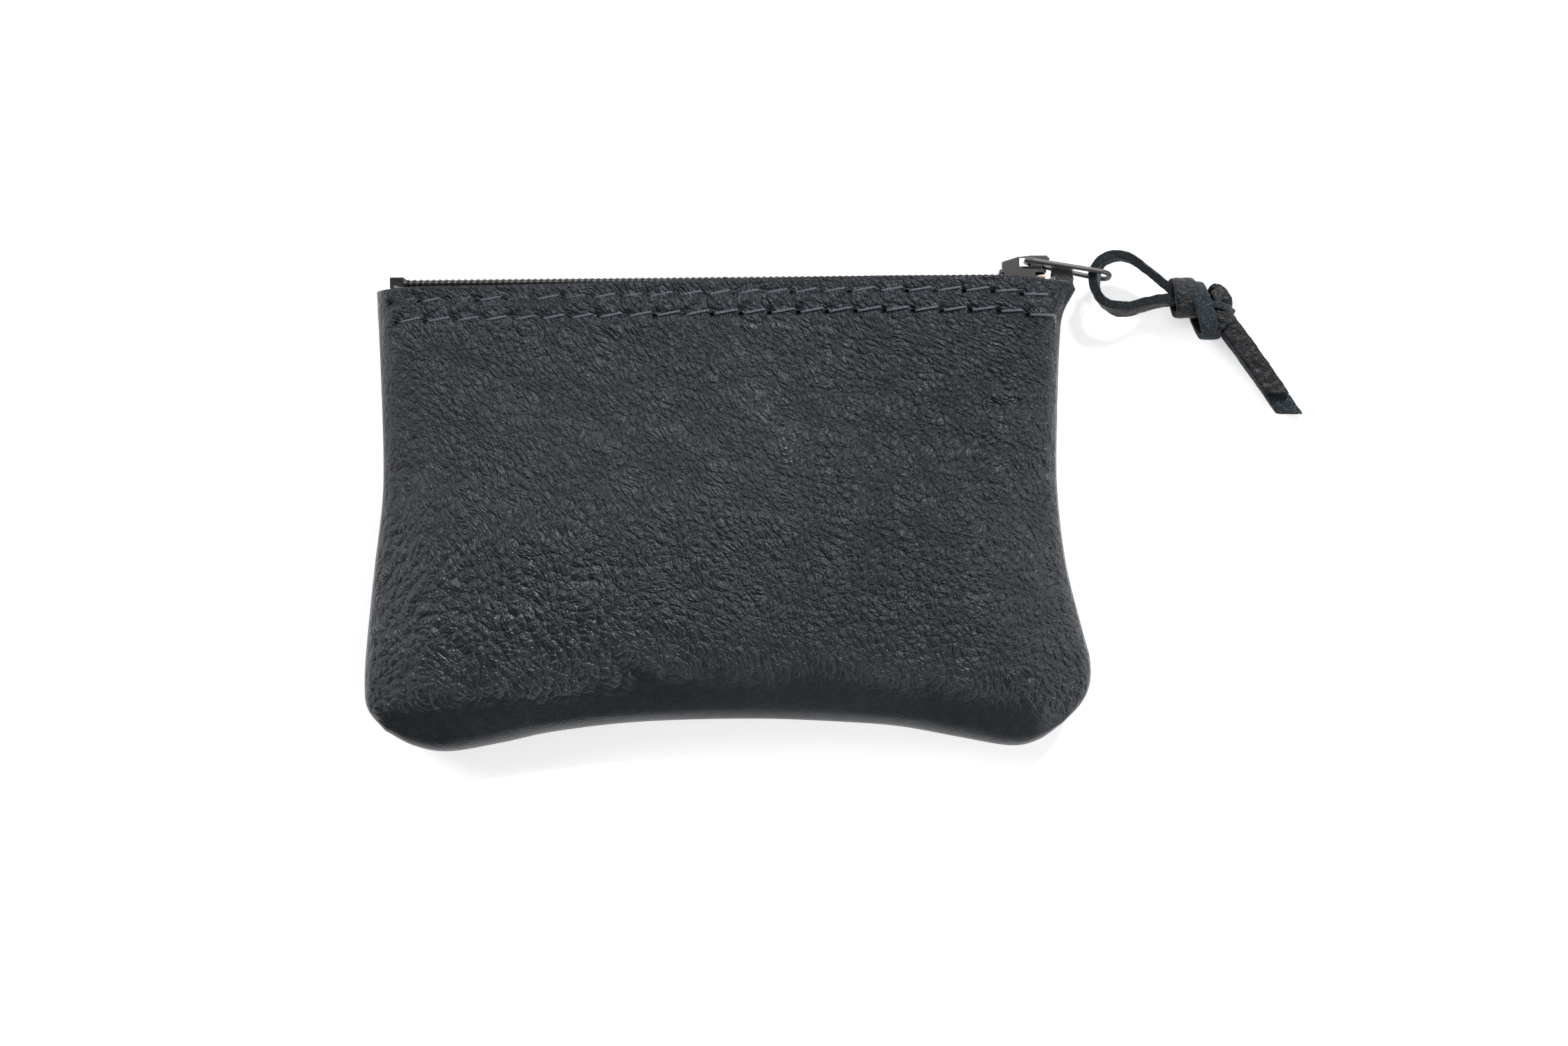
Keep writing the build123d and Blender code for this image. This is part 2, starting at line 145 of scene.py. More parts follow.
def smooth_curve(points, count):
    """count points along a smooth curve through the given points, evenly spaced along it."""
    p = np.array(points, float)
    p = np.vstack([2 * p[0] - p[1], p, 2 * p[-1] - p[-2]])
    dense = []
    for i in range(1, len(p) - 2):
        for t in np.linspace(0, 1, 24, endpoint=False):
            a, b, c, d = p[i - 1], p[i], p[i + 1], p[i + 2]
            dense.append(0.5 * (2 * b + (c - a) * t + (2 * a - 5 * b + 4 * c - d) * t**2
                                + (3 * b - a - 3 * c + d) * t**3))
    dense = np.array(dense + [p[-2]])
    run = np.concatenate([[0], np.cumsum(np.linalg.norm(np.diff(dense, axis=0), axis=1))])
    want = np.linspace(0, run[-1], count)
    return np.stack([np.interp(want, run, dense[:, k]) for k in range(p.shape[1])], axis=1)


def soft_noise(points, scale, seed=0.0):
    """Smooth noise from -1 to 1 at each point, its features about scale millimetres across."""
    shift = Vector((seed * 17.3, seed * -9.1, seed * 5.7))
    return np.array([noise.noise(Vector(p) / scale + shift) for p in points])


def new_mesh(name, points, faces, materials, face_slots=None):
    """A smooth-shaded mesh object from points in millimetres."""
    mesh = bpy.data.meshes.new(name)
    mesh.from_pydata([tuple(p) for p in np.asarray(points) * MM], [], faces)
    for material in materials:
        mesh.materials.append(material)
    mesh.polygons.foreach_set("use_smooth", [True] * len(mesh.polygons))
    if face_slots is not None:
        mesh.polygons.foreach_set("material_index", list(face_slots))
    mesh.update()
    piece = bpy.data.objects.new(name, mesh)
    bpy.context.collection.objects.link(piece)
    return piece


def tube_rings(path, radii, sides, closed_ends=True):
    """Points and faces of a tube along a path; radii is one radius, or one pair of half sizes, per point."""
    path = np.asarray(path, float)
    tangents = np.gradient(path, axis=0)
    tangents /= np.linalg.norm(tangents, axis=1)[:, None]
    up = np.array([0.0, 0.0, 1.0])
    if abs(tangents[0] @ up) > 0.9:
        up = np.array([0.0, 1.0, 0.0])
    points, faces = [], []
    for i, (centre, tangent) in enumerate(zip(path, tangents)):
        side = np.cross(up, tangent)
        side /= np.linalg.norm(side)
        up = np.cross(tangent, side)
        radius = radii if np.isscalar(radii) else radii[i]
        for k in range(sides):
            angle = 2 * math.pi * k / sides
            points.append(centre + radius * (math.cos(angle) * side + math.sin(angle) * up))
    for i in range(len(path) - 1):
        for k in range(sides):
            a, b = i * sides + k, i * sides + (k + 1) % sides
            faces.append((a, b, b + sides, a + sides))
    if closed_ends:
        faces.append(tuple(range(sides))[::-1])
        faces.append(tuple(range((len(path) - 1) * sides, len(path) * sides)))
    return points, faces


class MeshPile:
    """Collects points and faces of many small shapes into one mesh."""

    def __init__(self):
        self.points, self.faces = [], []

    def add(self, points, faces):
        start = len(self.points)
        self.points.extend(points)
        self.faces.extend(tuple(i + start for i in face) for face in faces)

    def object(self, name, material):
        return new_mesh(name, self.points, self.faces, [material])


# ---------------------------------------------------------------- shader helpers
def add_node(tree, kind, inputs=None, **settings):
    """A shader node with its settings and the values of its inputs, by name or by number."""
    node = tree.nodes.new(kind)
    for key, value in settings.items():
        setattr(node, key, value)
    for key, value in (inputs or {}).items():
        if isinstance(value, bpy.types.NodeSocket):
            tree.links.new(value, node.inputs[key])
        else:
            node.inputs[key].default_value = value
    return node


def maths(tree, operation, first, second=0.0, clamp=False):
    return add_node(tree, "ShaderNodeMath", {0: first, 1: second}, operation=operation, use_clamp=clamp).outputs[0]


def ramp(tree, value, low, high):
    """value rescaled so that low gives 0 and high gives 1, smoothly and clamped."""
    node = add_node(tree, "ShaderNodeMapRange", {"Value": value, "From Min": low, "From Max": high},
                    interpolation_type="SMOOTHSTEP")
    return node.outputs["Result"]


def mix_colour(tree, factor, first, second, blend="MIX"):
    node = add_node(tree, "ShaderNodeMix", data_type="RGBA", blend_type=blend, clamp_factor=True)
    for socket, value in ((node.inputs[0], factor), (node.inputs[6], first), (node.inputs[7], second)):
        if isinstance(value, bpy.types.NodeSocket):
            tree.links.new(value, socket)
        else:
            socket.default_value = value
    return node.outputs[2]


def rgba(colour, gain=1.0):
    return (*(min(1.0, c * gain) for c in colour), 1.0)


def start_group(name, inputs, outputs):
    """An empty shader node group with its named sockets; gives the tree and its two end nodes."""
    tree = bpy.data.node_groups.new(name, "ShaderNodeTree")
    for socket, default in inputs:
        made = tree.interface.new_socket(socket, in_out="INPUT", socket_type="NodeSocketFloat")
        made.default_value = default
    for socket, kind in outputs:
        tree.interface.new_socket(socket, in_out="OUTPUT", socket_type=kind)
    return tree, tree.nodes.new("NodeGroupInput"), tree.nodes.new("NodeGroupOutput")


def place_group(tree, name, inputs=None):
    node = tree.nodes.new("ShaderNodeGroup")
    node.node_tree = bpy.data.node_groups[name]
    for key, value in (inputs or {}).items():
        if isinstance(value, bpy.types.NodeSocket):
            tree.links.new(value, node.inputs[key])
        else:
            node.inputs[key].default_value = value
    return node


def millimetres(tree):
    """Object coordinates in millimetres."""
    where = tree.nodes.new("ShaderNodeTexCoord").outputs["Object"]
    return add_node(tree, "ShaderNodeVectorMath", {0: where, 1: (1000.0, 1000.0, 1000.0)},
                    operation="MULTIPLY").outputs[0]


def texture(tree, kind, where, scale, **values):
    """A noise or Voronoi texture, its scale in features for each millimetre."""
    settings = {key: value for key, value in values.items() if key.islower()}
    inputs = {key: value for key, value in values.items() if not key.islower()}
    return add_node(tree, kind, {"Vector": where, "Scale": scale, **inputs}, **settings)


# ---------------------------------------------------------------- shared effects
def build_grain_group():
    """Tumbled leather grain: fine raised flecks, drawn out along a slant, on pebbles parted by creases."""
    tree, given, made = start_group(
        "Leather grain",
        [("Pebble size", 1.0), ("Pebbles", 1.0), ("Flecks", 1.0), ("Slant", 0.96), ("Stretch", 0.5)],
        [("Height", "NodeSocketFloat"), ("Creases", "NodeSocketFloat"), ("Patches", "NodeSocketFloat"),
         ("Shine", "NodeSocketFloat")],
    )
    where = millimetres(tree)
    wander = texture(tree, "ShaderNodeTexNoise", where, 0.13, Detail=2.0)
    drift = add_node(tree, "ShaderNodeVectorMath", {0: wander.outputs["Color"], 1: (5.0, 5.0, 5.0)},
                     operation="MULTIPLY").outputs[0]
    moved = add_node(tree, "ShaderNodeVectorMath", {0: where, 1: drift}, operation="ADD").outputs[0]
    turn = add_node(tree, "ShaderNodeVectorRotate", {"Vector": moved, "Axis": (0, 0, 1)},
                    rotation_type="AXIS_ANGLE")
    tree.links.new(given.outputs["Slant"], turn.inputs["Angle"])
    drawn = add_node(tree, "ShaderNodeCombineXYZ", {"X": given.outputs["Stretch"], "Y": 1.0, "Z": 0.8}).outputs[0]
    drawn = add_node(tree, "ShaderNodeVectorMath", {0: turn.outputs[0], 1: drawn}, operation="MULTIPLY").outputs[0]
    spacing = maths(tree, "DIVIDE", 1.05, given.outputs["Pebble size"])
    cells = texture(tree, "ShaderNodeTexVoronoi", drawn, spacing, feature="DISTANCE_TO_EDGE")
    pebble = texture(tree, "ShaderNodeTexVoronoi", drawn, spacing, feature="SMOOTH_F1", Smoothness=0.25)
    flecks = texture(tree, "ShaderNodeTexVoronoi", drawn, 2.8)
    finest = texture(tree, "ShaderNodeTexVoronoi", turn.outputs[0], 4.6)
    patches = texture(tree, "ShaderNodeTexNoise", moved, 0.30, Detail=3.0, Roughness=0.6)
    folds = texture(tree, "ShaderNodeTexNoise", drawn, 0.9, Detail=2.0, Roughness=0.5)
    edge = ramp(tree, cells.outputs["Distance"], 0.0, 0.16)
    dome = maths(tree, "SUBTRACT", 1.0, maths(tree, "MULTIPLY", pebble.outputs["Distance"], 1.2), clamp=True)
    fleck = maths(tree, "SUBTRACT", 1.0, maths(tree, "MULTIPLY", flecks.outputs["Distance"], 1.3), clamp=True)
    tiny = maths(tree, "SUBTRACT", 1.0, finest.outputs["Distance"], clamp=True)
    raised = maths(tree, "ADD", maths(tree, "MULTIPLY", dome, 1.3), maths(tree, "MULTIPLY", edge, 0.30))
    raised = maths(tree, "ADD", raised, maths(tree, "MULTIPLY", folds.outputs["Fac"], 1.1))
    small = maths(tree, "ADD", maths(tree, "MULTIPLY", fleck, 0.44), maths(tree, "MULTIPLY", tiny, 0.18))
    height = maths(tree, "ADD", maths(tree, "MULTIPLY", raised, given.outputs["Pebbles"]),
                   maths(tree, "MULTIPLY", small, given.outputs["Flecks"]))
    tree.links.new(height, made.inputs["Height"])
    tree.links.new(maths(tree, "SUBTRACT", 1.0, edge), made.inputs["Creases"])
    patch = ramp(tree, patches.outputs["Fac"], 0.34, 0.66)
    tree.links.new(patch, made.inputs["Patches"])
    peak = maths(tree, "MULTIPLY", ramp(tree, fleck, 0.45, 0.8), ramp(tree, dome, 0.35, 0.75))
    tree.links.new(maths(tree, "MULTIPLY", peak, maths(tree, "ADD", 0.25, maths(tree, "MULTIPLY", patch, 0.75))),
                   made.inputs["Shine"])


def build_fibre_group():
    """Brushed flesh side and raw cut edges: short matted fibres, some of them pale."""
    tree, given, made = start_group(
        "Suede fibre", [("Fibre size", 0.22)],
        [("Height", "NodeSocketFloat"), ("Pale", "NodeSocketFloat")],
    )
    where = millimetres(tree)
    spacing = maths(tree, "DIVIDE", 1.0, given.outputs["Fibre size"])
    nap = texture(tree, "ShaderNodeTexNoise", where, spacing, Detail=5.0, Roughness=0.7)
    clump = texture(tree, "ShaderNodeTexNoise", where, maths(tree, "MULTIPLY", spacing, 0.32), Detail=2.0)
    flecks = texture(tree, "ShaderNodeTexVoronoi", where, maths(tree, "MULTIPLY", spacing, 1.3))
    tree.links.new(maths(tree, "ADD", nap.outputs["Fac"], maths(tree, "MULTIPLY", clump.outputs["Fac"], 0.8)),
                   made.inputs["Height"])
    pale = maths(tree, "MULTIPLY", ramp(tree, nap.outputs["Fac"], 0.45, 0.72),
                 ramp(tree, flecks.outputs["Distance"], 0.75, 0.15))
    tree.links.new(pale, made.inputs["Pale"])


def build_wear_group():
    """Handling marks on metal: faint smears and fine scratches."""
    tree, given, made = start_group(
        "Handling marks", [("Smear size", 2.0)],
        [("Smears", "NodeSocketFloat"), ("Scratches", "NodeSocketFloat")],
    )
    where = millimetres(tree)
    smears = texture(tree, "ShaderNodeTexNoise", where, maths(tree, "DIVIDE", 1.0, given.outputs["Smear size"]),
                     Detail=4.0)
    drawn = add_node(tree, "ShaderNodeVectorMath", {0: where, 1: (0.6, 6.0, 6.0)}, operation="MULTIPLY").outputs[0]
    scratches = texture(tree, "ShaderNodeTexNoise", drawn, 1.4, Detail=4.0, Roughness=0.7)
    tree.links.new(ramp(tree, smears.outputs["Fac"], 0.35, 0.7), made.inputs["Smears"])
    tree.links.new(ramp(tree, scratches.outputs["Fac"], 0.55, 0.75), made.inputs["Scratches"])


def new_material(name):
    """An empty material with a Principled BSDF; gives the material, its tree and the shader."""
    material = bpy.data.materials.new(name)
    material.use_nodes = True
    tree = material.node_tree
    tree.nodes.clear()
    shader = tree.nodes.new("ShaderNodeBsdfPrincipled")
    output = tree.nodes.new("ShaderNodeOutputMaterial")
    tree.links.new(shader.outputs[0], output.inputs["Surface"])
    return material, tree, shader


def add_bump(tree, shader, height, distance, strength=1.0):
    bump = add_node(tree, "ShaderNodeBump", {"Height": height, "Distance": distance * MM, "Strength": strength})
    tree.links.new(bump.outputs["Normal"], shader.inputs["Normal"])


# ---------------------------------------------------------------- materials
def leather_material():
    """Grain side of the panels: pebbles low on the left, slanting flecks above, a smooth band by the seam."""
    material, tree, shader = new_material("purse_leather")
    where = millimetres(tree)
    apart = add_node(tree, "ShaderNodeSeparateXYZ", {0: where})
    x, y = apart.outputs["X"], apart.outputs["Y"]
    arch = maths(tree, "MULTIPLY", maths(tree, "POWER", maths(tree, "DIVIDE", x, 44.0), 2.0), -4.0)
    above_seam = maths(tree, "SUBTRACT", y, maths(tree, "ADD", arch, front_low.y + 4.8))
    edge_wander = texture(tree, "ShaderNodeTexNoise", where, 0.12, Detail=2.0)
    above_seam = maths(tree, "ADD", above_seam, maths(tree, "MULTIPLY", edge_wander.outputs["Fac"], 5.0))
    band = ramp(tree, above_seam, 6.5, 13.0)
    low_left = maths(tree, "MULTIPLY", ramp(tree, y, 8.0, -16.0), ramp(tree, x, 8.0, -22.0))
    right = maths(tree, "MULTIPLY", ramp(tree, x, 0.0, 30.0), ramp(tree, y, 36.0, 18.0))
    size = maths(tree, "ADD", 1.0, maths(tree, "MULTIPLY", low_left, 0.40))
    size = maths(tree, "ADD", size, maths(tree, "MULTIPLY", right, 0.20))
    pebbles = maths(tree, "ADD", 0.62, maths(tree, "ADD", maths(tree, "MULTIPLY", low_left, 0.25),
                                             maths(tree, "MULTIPLY", right, 0.35)))
    pebbles = maths(tree, "MULTIPLY", pebbles, maths(tree, "ADD", 0.03, maths(tree, "MULTIPLY", band, 0.97)))
    flecks = maths(tree, "ADD", 0.14, maths(tree, "MULTIPLY", band, 0.95))
    flecks = maths(tree, "SUBTRACT", flecks, maths(tree, "MULTIPLY", low_left, 0.35))
    stretch = maths(tree, "ADD", 0.56, maths(tree, "MULTIPLY", maths(tree, "ADD", right, low_left), 0.30))
    grain = place_group(tree, "Leather grain", {"Pebble size": size, "Pebbles": pebbles, "Flecks": flecks,
                                                "Stretch": stretch})
    base = colours().leather
    shade = mix_colour(tree, grain.outputs["Patches"], rgba(base, 0.85), rgba(base, 1.15))
    # painted shade: the creases between the pebbles are darkened towards a third of the leather's colour
    shade = mix_colour(tree, maths(tree, "MULTIPLY", grain.outputs["Creases"], 0.7), shade, rgba(base, 0.35))
    tree.links.new(shade, shader.inputs["Base Color"])
    gloss = maths(tree, "MULTIPLY", grain.outputs["Shine"], maths(tree, "MULTIPLY", band, 0.34))
    gloss = maths(tree, "ADD", gloss, maths(tree, "MULTIPLY", right, 0.07))
    gloss = maths(tree, "ADD", gloss, maths(tree, "MULTIPLY", low_left, 0.13))
    tree.links.new(maths(tree, "SUBTRACT", 0.50, gloss), shader.inputs["Roughness"])
    shader.inputs["Specular IOR Level"].default_value = 0.42
    shader.inputs["Specular Tint"].default_value = rgba((0.86, 0.93, 1.0))
    add_bump(tree, shader, grain.outputs["Height"], 0.42, 1.0)
    return material


def suede_material(name="purse_suede", fibre=0.22, gain=1.0):
    """Flesh side and raw edges, darkened by a gain below 1."""
    material, tree, shader = new_material(name)
    nap = place_group(tree, "Suede fibre", {"Fibre size": fibre})
    base = colours().suede
    shade = mix_colour(tree, nap.outputs["Pale"], rgba(base, 0.5 * gain), rgba(base, 5.6 * gain))
    tree.links.new(shade, shader.inputs["Base Color"])
    shader.inputs["Roughness"].default_value = 0.95
    shader.inputs["Specular IOR Level"].default_value = 0.15
    shader.inputs["Sheen Weight"].default_value = 0.25
    shader.inputs["Sheen Roughness"].default_value = 0.4
    shader.inputs["Sheen Tint"].default_value = rgba((0.55, 0.65, 0.72))
    add_bump(tree, shader, nap.outputs["Height"], 0.22)
    return material


def lace_material():
    """Grain side of the lace: smoother than the panels, cracked across by its folds."""
    material, tree, shader = new_material("lace_leather")
    grain = place_group(tree, "Leather grain", {"Pebble size": 0.8, "Pebbles": 0.4, "Flecks": 0.7, "Slant": 0.3,
                                                "Stretch": 0.8})
    base = colours().leather
    shade = mix_colour(tree, grain.outputs["Patches"], rgba(base, 0.35), rgba(base, 0.6))
    shade = mix_colour(tree, grain.outputs["Creases"], shade, rgba(base, 0.5))
    tree.links.new(shade, shader.inputs["Base Color"])
    tree.links.new(maths(tree, "SUBTRACT", 0.52, maths(tree, "MULTIPLY", grain.outputs["Shine"], 0.24)),
                   shader.inputs["Roughness"])
    shader.inputs["Specular IOR Level"].default_value = 0.24
    add_bump(tree, shader, grain.outputs["Height"], 0.24)
    return material


def thread_material():
    """Twisted polyester sewing thread."""
    material, tree, shader = new_material("purse_thread")
    where = millimetres(tree)
    strands = texture(tree, "ShaderNodeTexNoise", where, 9.0, Detail=2.0)
    base = colours().thread
    shade = mix_colour(tree, ramp(tree, strands.outputs["Fac"], 0.35, 0.7), rgba(base, 0.7), rgba(base, 1.5))
    tree.links.new(shade, shader.inputs["Base Color"])
    shader.inputs["Roughness"].default_value = 0.5
    shader.inputs["Sheen Weight"].default_value = 0.2
    add_bump(tree, shader, strands.outputs["Fac"], 0.04)
    return material


def hole_shade_material():
    """Painted shade for the inside of a needle hole: near-black matt fibres standing in for the hole's own shadow.
    """
    material, tree, shader = new_material("needle_hole_shade")
    nap = place_group(tree, "Suede fibre", {"Fibre size": 0.2})
    tree.links.new(mix_colour(tree, nap.outputs["Pale"], (0.002, 0.002, 0.002, 1), (0.006, 0.006, 0.007, 1)),
                   shader.inputs["Base Color"])
    shader.inputs["Roughness"].default_value = 1.0
    shader.inputs["Specular IOR Level"].default_value = 0.0
    return material


def tape_material():
    """Woven polyester zip tape: a fine herringbone of black yarn."""
    material, tree, shader = new_material("zip_tape_weave")
    where = millimetres(tree)
    warp = add_node(tree, "ShaderNodeTexWave", {"Vector": where, "Scale": 1.1, "Distortion": 0.4},
                    wave_type="BANDS", bands_direction="X")
    slant = add_node(tree, "ShaderNodeTexWave", {"Vector": where, "Scale": 0.8, "Distortion": 0.5},
                     wave_type="BANDS", bands_direction="DIAGONAL")
    fluff = texture(tree, "ShaderNodeTexNoise", where, 7.0, Detail=3.0)
    weave = maths(tree, "ADD", maths(tree, "MULTIPLY", warp.outputs["Fac"], slant.outputs["Fac"]),
                  maths(tree, "MULTIPLY", fluff.outputs["Fac"], 0.6))
    shade = mix_colour(tree, weave, (0.004, 0.004, 0.005, 1), (0.030, 0.030, 0.033, 1))
    tree.links.new(shade, shader.inputs["Base Color"])
    shader.inputs["Roughness"].default_value = 0.85
    shader.inputs["Sheen Weight"].default_value = 0.3
    add_bump(tree, shader, weave, 0.12)
    return material


def coil_material():
    """Black nylon monofilament."""
    material, tree, shader = new_material("zip_nylon")
    where = millimetres(tree)
    haze = texture(tree, "ShaderNodeTexNoise", where, 1.7, Detail=3.0)
    tree.links.new(mix_colour(tree, haze.outputs["Fac"], (0.006, 0.006, 0.006, 1), (0.016, 0.015, 0.015, 1)),
                   shader.inputs["Base Color"])
    tree.links.new(maths(tree, "ADD", 0.14, maths(tree, "MULTIPLY", haze.outputs["Fac"], 0.2)),
                   shader.inputs["Roughness"])
    add_bump(tree, shader, haze.outputs["Fac"], 0.02)
    return material


def metal_material(name, colour, roughness, smear_size):
    """Plated metal with faint smears and scratches."""
    material, tree, shader = new_material(name)
    marks = place_group(tree, "Handling marks", {"Smear size": smear_size})
    shade = mix_colour(tree, marks.outputs["Smears"], rgba(colour, 0.8), rgba(colour, 1.2))
    tree.links.new(shade, shader.inputs["Base Color"])
    rough = maths(tree, "ADD", roughness, maths(tree, "MULTIPLY", marks.outputs["Smears"], 0.12))
    tree.links.new(maths(tree, "ADD", rough, maths(tree, "MULTIPLY", marks.outputs["Scratches"], 0.1)),
                   shader.inputs["Roughness"])
    shader.inputs["Metallic"].default_value = 1.0
    add_bump(tree, shader, marks.outputs["Scratches"], 0.01, 0.4)
    return material


def clip_material():
    """Black enamelled end clip."""
    material, tree, shader = new_material("clip_enamel")
    marks = place_group(tree, "Handling marks", {"Smear size": 0.8})
    tree.links.new(mix_colour(tree, marks.outputs["Scratches"], (0.008, 0.008, 0.009, 1), (0.05, 0.05, 0.055, 1)),
                   shader.inputs["Base Color"])
    tree.links.new(maths(tree, "ADD", 0.3, maths(tree, "MULTIPLY", marks.outputs["Smears"], 0.2)),
                   shader.inputs["Roughness"])
    add_bump(tree, shader, marks.outputs["Smears"], 0.02)
    return material


def material(name, make):
    """The named material, made the first time it is asked for."""
    return bpy.data.materials.get(name) or make()


def repaint(node, slot_material):
    """Gives a CAD node its finish."""
    mesh = bpy.data.objects[node].data
    mesh.materials.clear()
    mesh.materials.append(slot_material)


# ---------------------------------------------------------------- leather shape
def mouth_line(x):
    """Height of the mouth's edge along the purse, which dips towards the ends."""
    return np.interp(x, [-55.5, -50, -30, 0, 25, 41, 46, 50, 55.5],
                     MOUTH_Y + np.array([-0.9, -0.35, -0.15, 0.45, 0.7, 0.55, 0.1, -0.6, -1.5]))


LEFT_SIDE = [(-54.6, -33.5), (-57.2, -30.3), (-57.8, -27.0), (-57.5, -20.8), (-56.1, -8.1), (-54.7, 3.0),
             (-54.5, 12.0), (-54.9, 27.0), (-55.3, 35.9)]
RIGHT_SIDE = [(52.4, -33.4), (55.5, -30.3), (57.0, -27.0), (57.0, -23.0), (56.0, -19.0), (53.4, -8.1),
              (52.1, 4.0), (52.2, 15.0), (52.7, 27.0), (53.3, 31.5), (55.3, 35.3)]
BOTTOM = [(-54.6, -33.5), (-50.0, -35.9), (-44.6, -36.8), (-36.2, -35.5), (-27.7, -33.8), (-14.0, -32.4),
          (4.0, -32.1), (18.8, -32.8), (27.3, -33.6), (36.2, -35.3), (44.2, -36.7), (48.6, -35.9), (52.4, -33.4)]


def panel_grid(across, upward):
    """Flat shape of a panel as a grid of points, from the bottom seam up to the mouth."""
    left, right = smooth_curve(LEFT_SIDE, upward + 1), smooth_curve(RIGHT_SIDE, upward + 1)
    bottom = smooth_curve(BOTTOM, across + 1)
    top_x = np.linspace(left[-1, 0], right[-1, 0], across + 1)
    top_y = smooth_curve(np.stack([top_x, mouth_line(top_x)], 1)[:: max(1, across // 16)], across + 1)[:, 1]
    top = np.stack([top_x, top_y], axis=1)
    top[0], top[-1] = left[-1], right[-1]
    s = np.linspace(0, 1, across + 1)[None, :, None]
    t = np.linspace(0, 1, upward + 1)[:, None, None]
    corners = ((1 - s) * (1 - t) * bottom[0] + s * (1 - t) * bottom[-1] + (1 - s) * t * top[0] + s * t * top[-1])
    return (1 - t) * bottom[None] + t * top[None] + (1 - s) * left[:, None] + s * right[:, None] - corners


def stitch_line(x, drop):
    """Height of a row of stitches, which runs along the mouth's edge."""
    return mouth_line(x) - drop


ROW_DROPS = {"upper": 2.1, "lower": 5.2}


def stitch_holes(drop):
    """Where the needle went in along one row."""
    pitch = sizes().stitch_pitch
    first = -52.6 + (0.0 if drop < 3 else 0.9)
    return np.arange(first, 52.9, pitch)


def panel_relief(x, y, side_gap, above_seam, front):
    """Wrinkles, puckers and dents of the leather, in millimetres outwards."""
    flat = np.stack([x.ravel(), y.ravel(), np.full(x.size, 3.0 if front else 40.0)], axis=1)
    relief = 0.42 * soft_noise(flat, 17.0, 1).reshape(x.shape)
    relief += 0.16 * soft_noise(flat * (1.0, 1.7, 1.0), 7.0, 2).reshape(x.shape)
    relief += 0.05 * soft_noise(flat, 2.4, 3).reshape(x.shape)
    inside = ease(side_gap, 0.0, 4.0) * ease(above_seam, 0.0, 4.0)
    relief *= inside
    # puckers that the hidden side seams pull into the leather
    pull = np.exp(-side_gap / 2.6) * ease(side_gap, 0.1, 1.0)
    relief -= 0.30 * pull * (0.5 + 0.5 * np.cos(2 * math.pi * y / 3.9 + 1.2 * np.sin(y / 5.0)))
    low = np.exp(-above_seam / 3.0) * ease(above_seam, 0.2, 1.4)
    relief -= 0.16 * low * (0.5 + 0.5 * np.cos(2 * math.pi * x / 4.3 + np.sin(x / 6.0)))
    # creases fanning in from the closed end of the zip
    fan = ease(x, 26.0, 46.0) * ease(y, -4.0, 10.0) * (1 - ease(y, 25.0, 31.0))
    waves = np.sin(2 * math.pi * (y + 0.16 * (x - 50) + 1.5 * soft_noise(flat, 9.0, 5).reshape(x.shape)) / 3.4)
    relief += 0.13 * fan * waves * ease(side_gap, 0.0, 2.0)
    bend = 12.0 + 5.6 * np.sin(math.pi * np.clip((x - 30.0) / 24.0, 0, 1) * 0.62)
    crease = np.exp(-(((y - bend) / 0.75) ** 2)) * ease(x, 33.0, 41.0)
    shoulder = np.exp(-(((y - bend + 3.2) / 2.2) ** 2)) * ease(x, 34.0, 42.0)
    relief += (0.35 * shoulder - 0.42 * crease) * ease(side_gap, 0.0, 1.5)
    # a soft fold low on the left side
    fold = np.exp(-(((x + 47.5) / 4.2) ** 2)) * ease(y, -30.0, -20.0) * (1 - ease(y, -2.0, 10.0))
    relief += 0.28 * fold
    return relief * sizes().wrinkle


def lip_relief(x, y):
    """The double row of stitches pulls the lip down in holes and leaves it puffed up between them."""
    pitch = sizes().stitch_pitch
    below = mouth_line(x) - y
    relief = np.zeros_like(x)
    for drop in ROW_DROPS.values():
        first = stitch_holes(drop)[0]
        phase = (x - first) / pitch
        nearest = (phase - np.round(phase)) * pitch
        relief -= 0.50 * np.exp(-((nearest / 0.62) ** 2)) * np.exp(-(((below - drop) / 0.62) ** 2))
        relief -= 0.14 * np.exp(-(((below - drop) / 0.8) ** 2))
    puff = np.exp(-(((below - 3.6) / 1.35) ** 2))
    relief += puff * (0.12 + 0.26 * np.cos(2 * math.pi * (x + 0.55 * below - stitch_holes(2.1)[0] - 3.4) / pitch))
    under = np.exp(-(((below - 6.9) / 1.7) ** 2))
    relief += under * 0.20 * np.cos(2 * math.pi * (x - stitch_holes(5.2)[0] - 2.2) / pitch)
    return relief * ease(below, 0.0, 0.8) * sizes().wrinkle


def panel_depth(grid, full_depth, front):
    """Distance of the grain side from the seam plane at each point of the grid."""
    x, y = grid[..., 0], grid[..., 1]
    side_gap = np.minimum(x - grid[:, :1, 0], grid[:, -1:, 0] - x)
    above_seam = y - grid[:1, :, 1]
    mouth = ease(y, 5.0, MOUTH_Y - 6.0)
    reach = 25.0 - 20.5 * mouth
    across = 1 - (1 - np.clip(side_gap / reach, 0, 1)) ** 2.4
    upward = 1 - (1 - np.clip(above_seam / 21.0, 0, 1)) ** 2.3
    upward = np.maximum(upward, 1e-6)
    edge_gap = np.minimum(side_gap, above_seam)
    turned = 1.9
    rim = turned * np.sqrt(np.clip(1 - (1 - np.clip(edge_gap / turned, 0, 1)) ** 2, 0, 1))
    lip = sizes().lip_depth
    peak = lip + (full_depth - lip) * (1 - ease(y, -6.0, MOUTH_Y - 7.0))
    depth = rim + (peak - turned) * across * upward
    flare = ease(x, 47.0, 54.0) * ease(y, MOUTH_Y - 7.0, MOUTH_Y - 1.5)
    depth = depth - 0.8 * flare * across
    depth = depth + panel_relief(x, y, side_gap, above_seam, front) + lip_relief(x, y)
    floor_depth = 0.15 * ease(edge_gap, 0.0, 0.4)
    return np.maximum(depth, floor_depth)


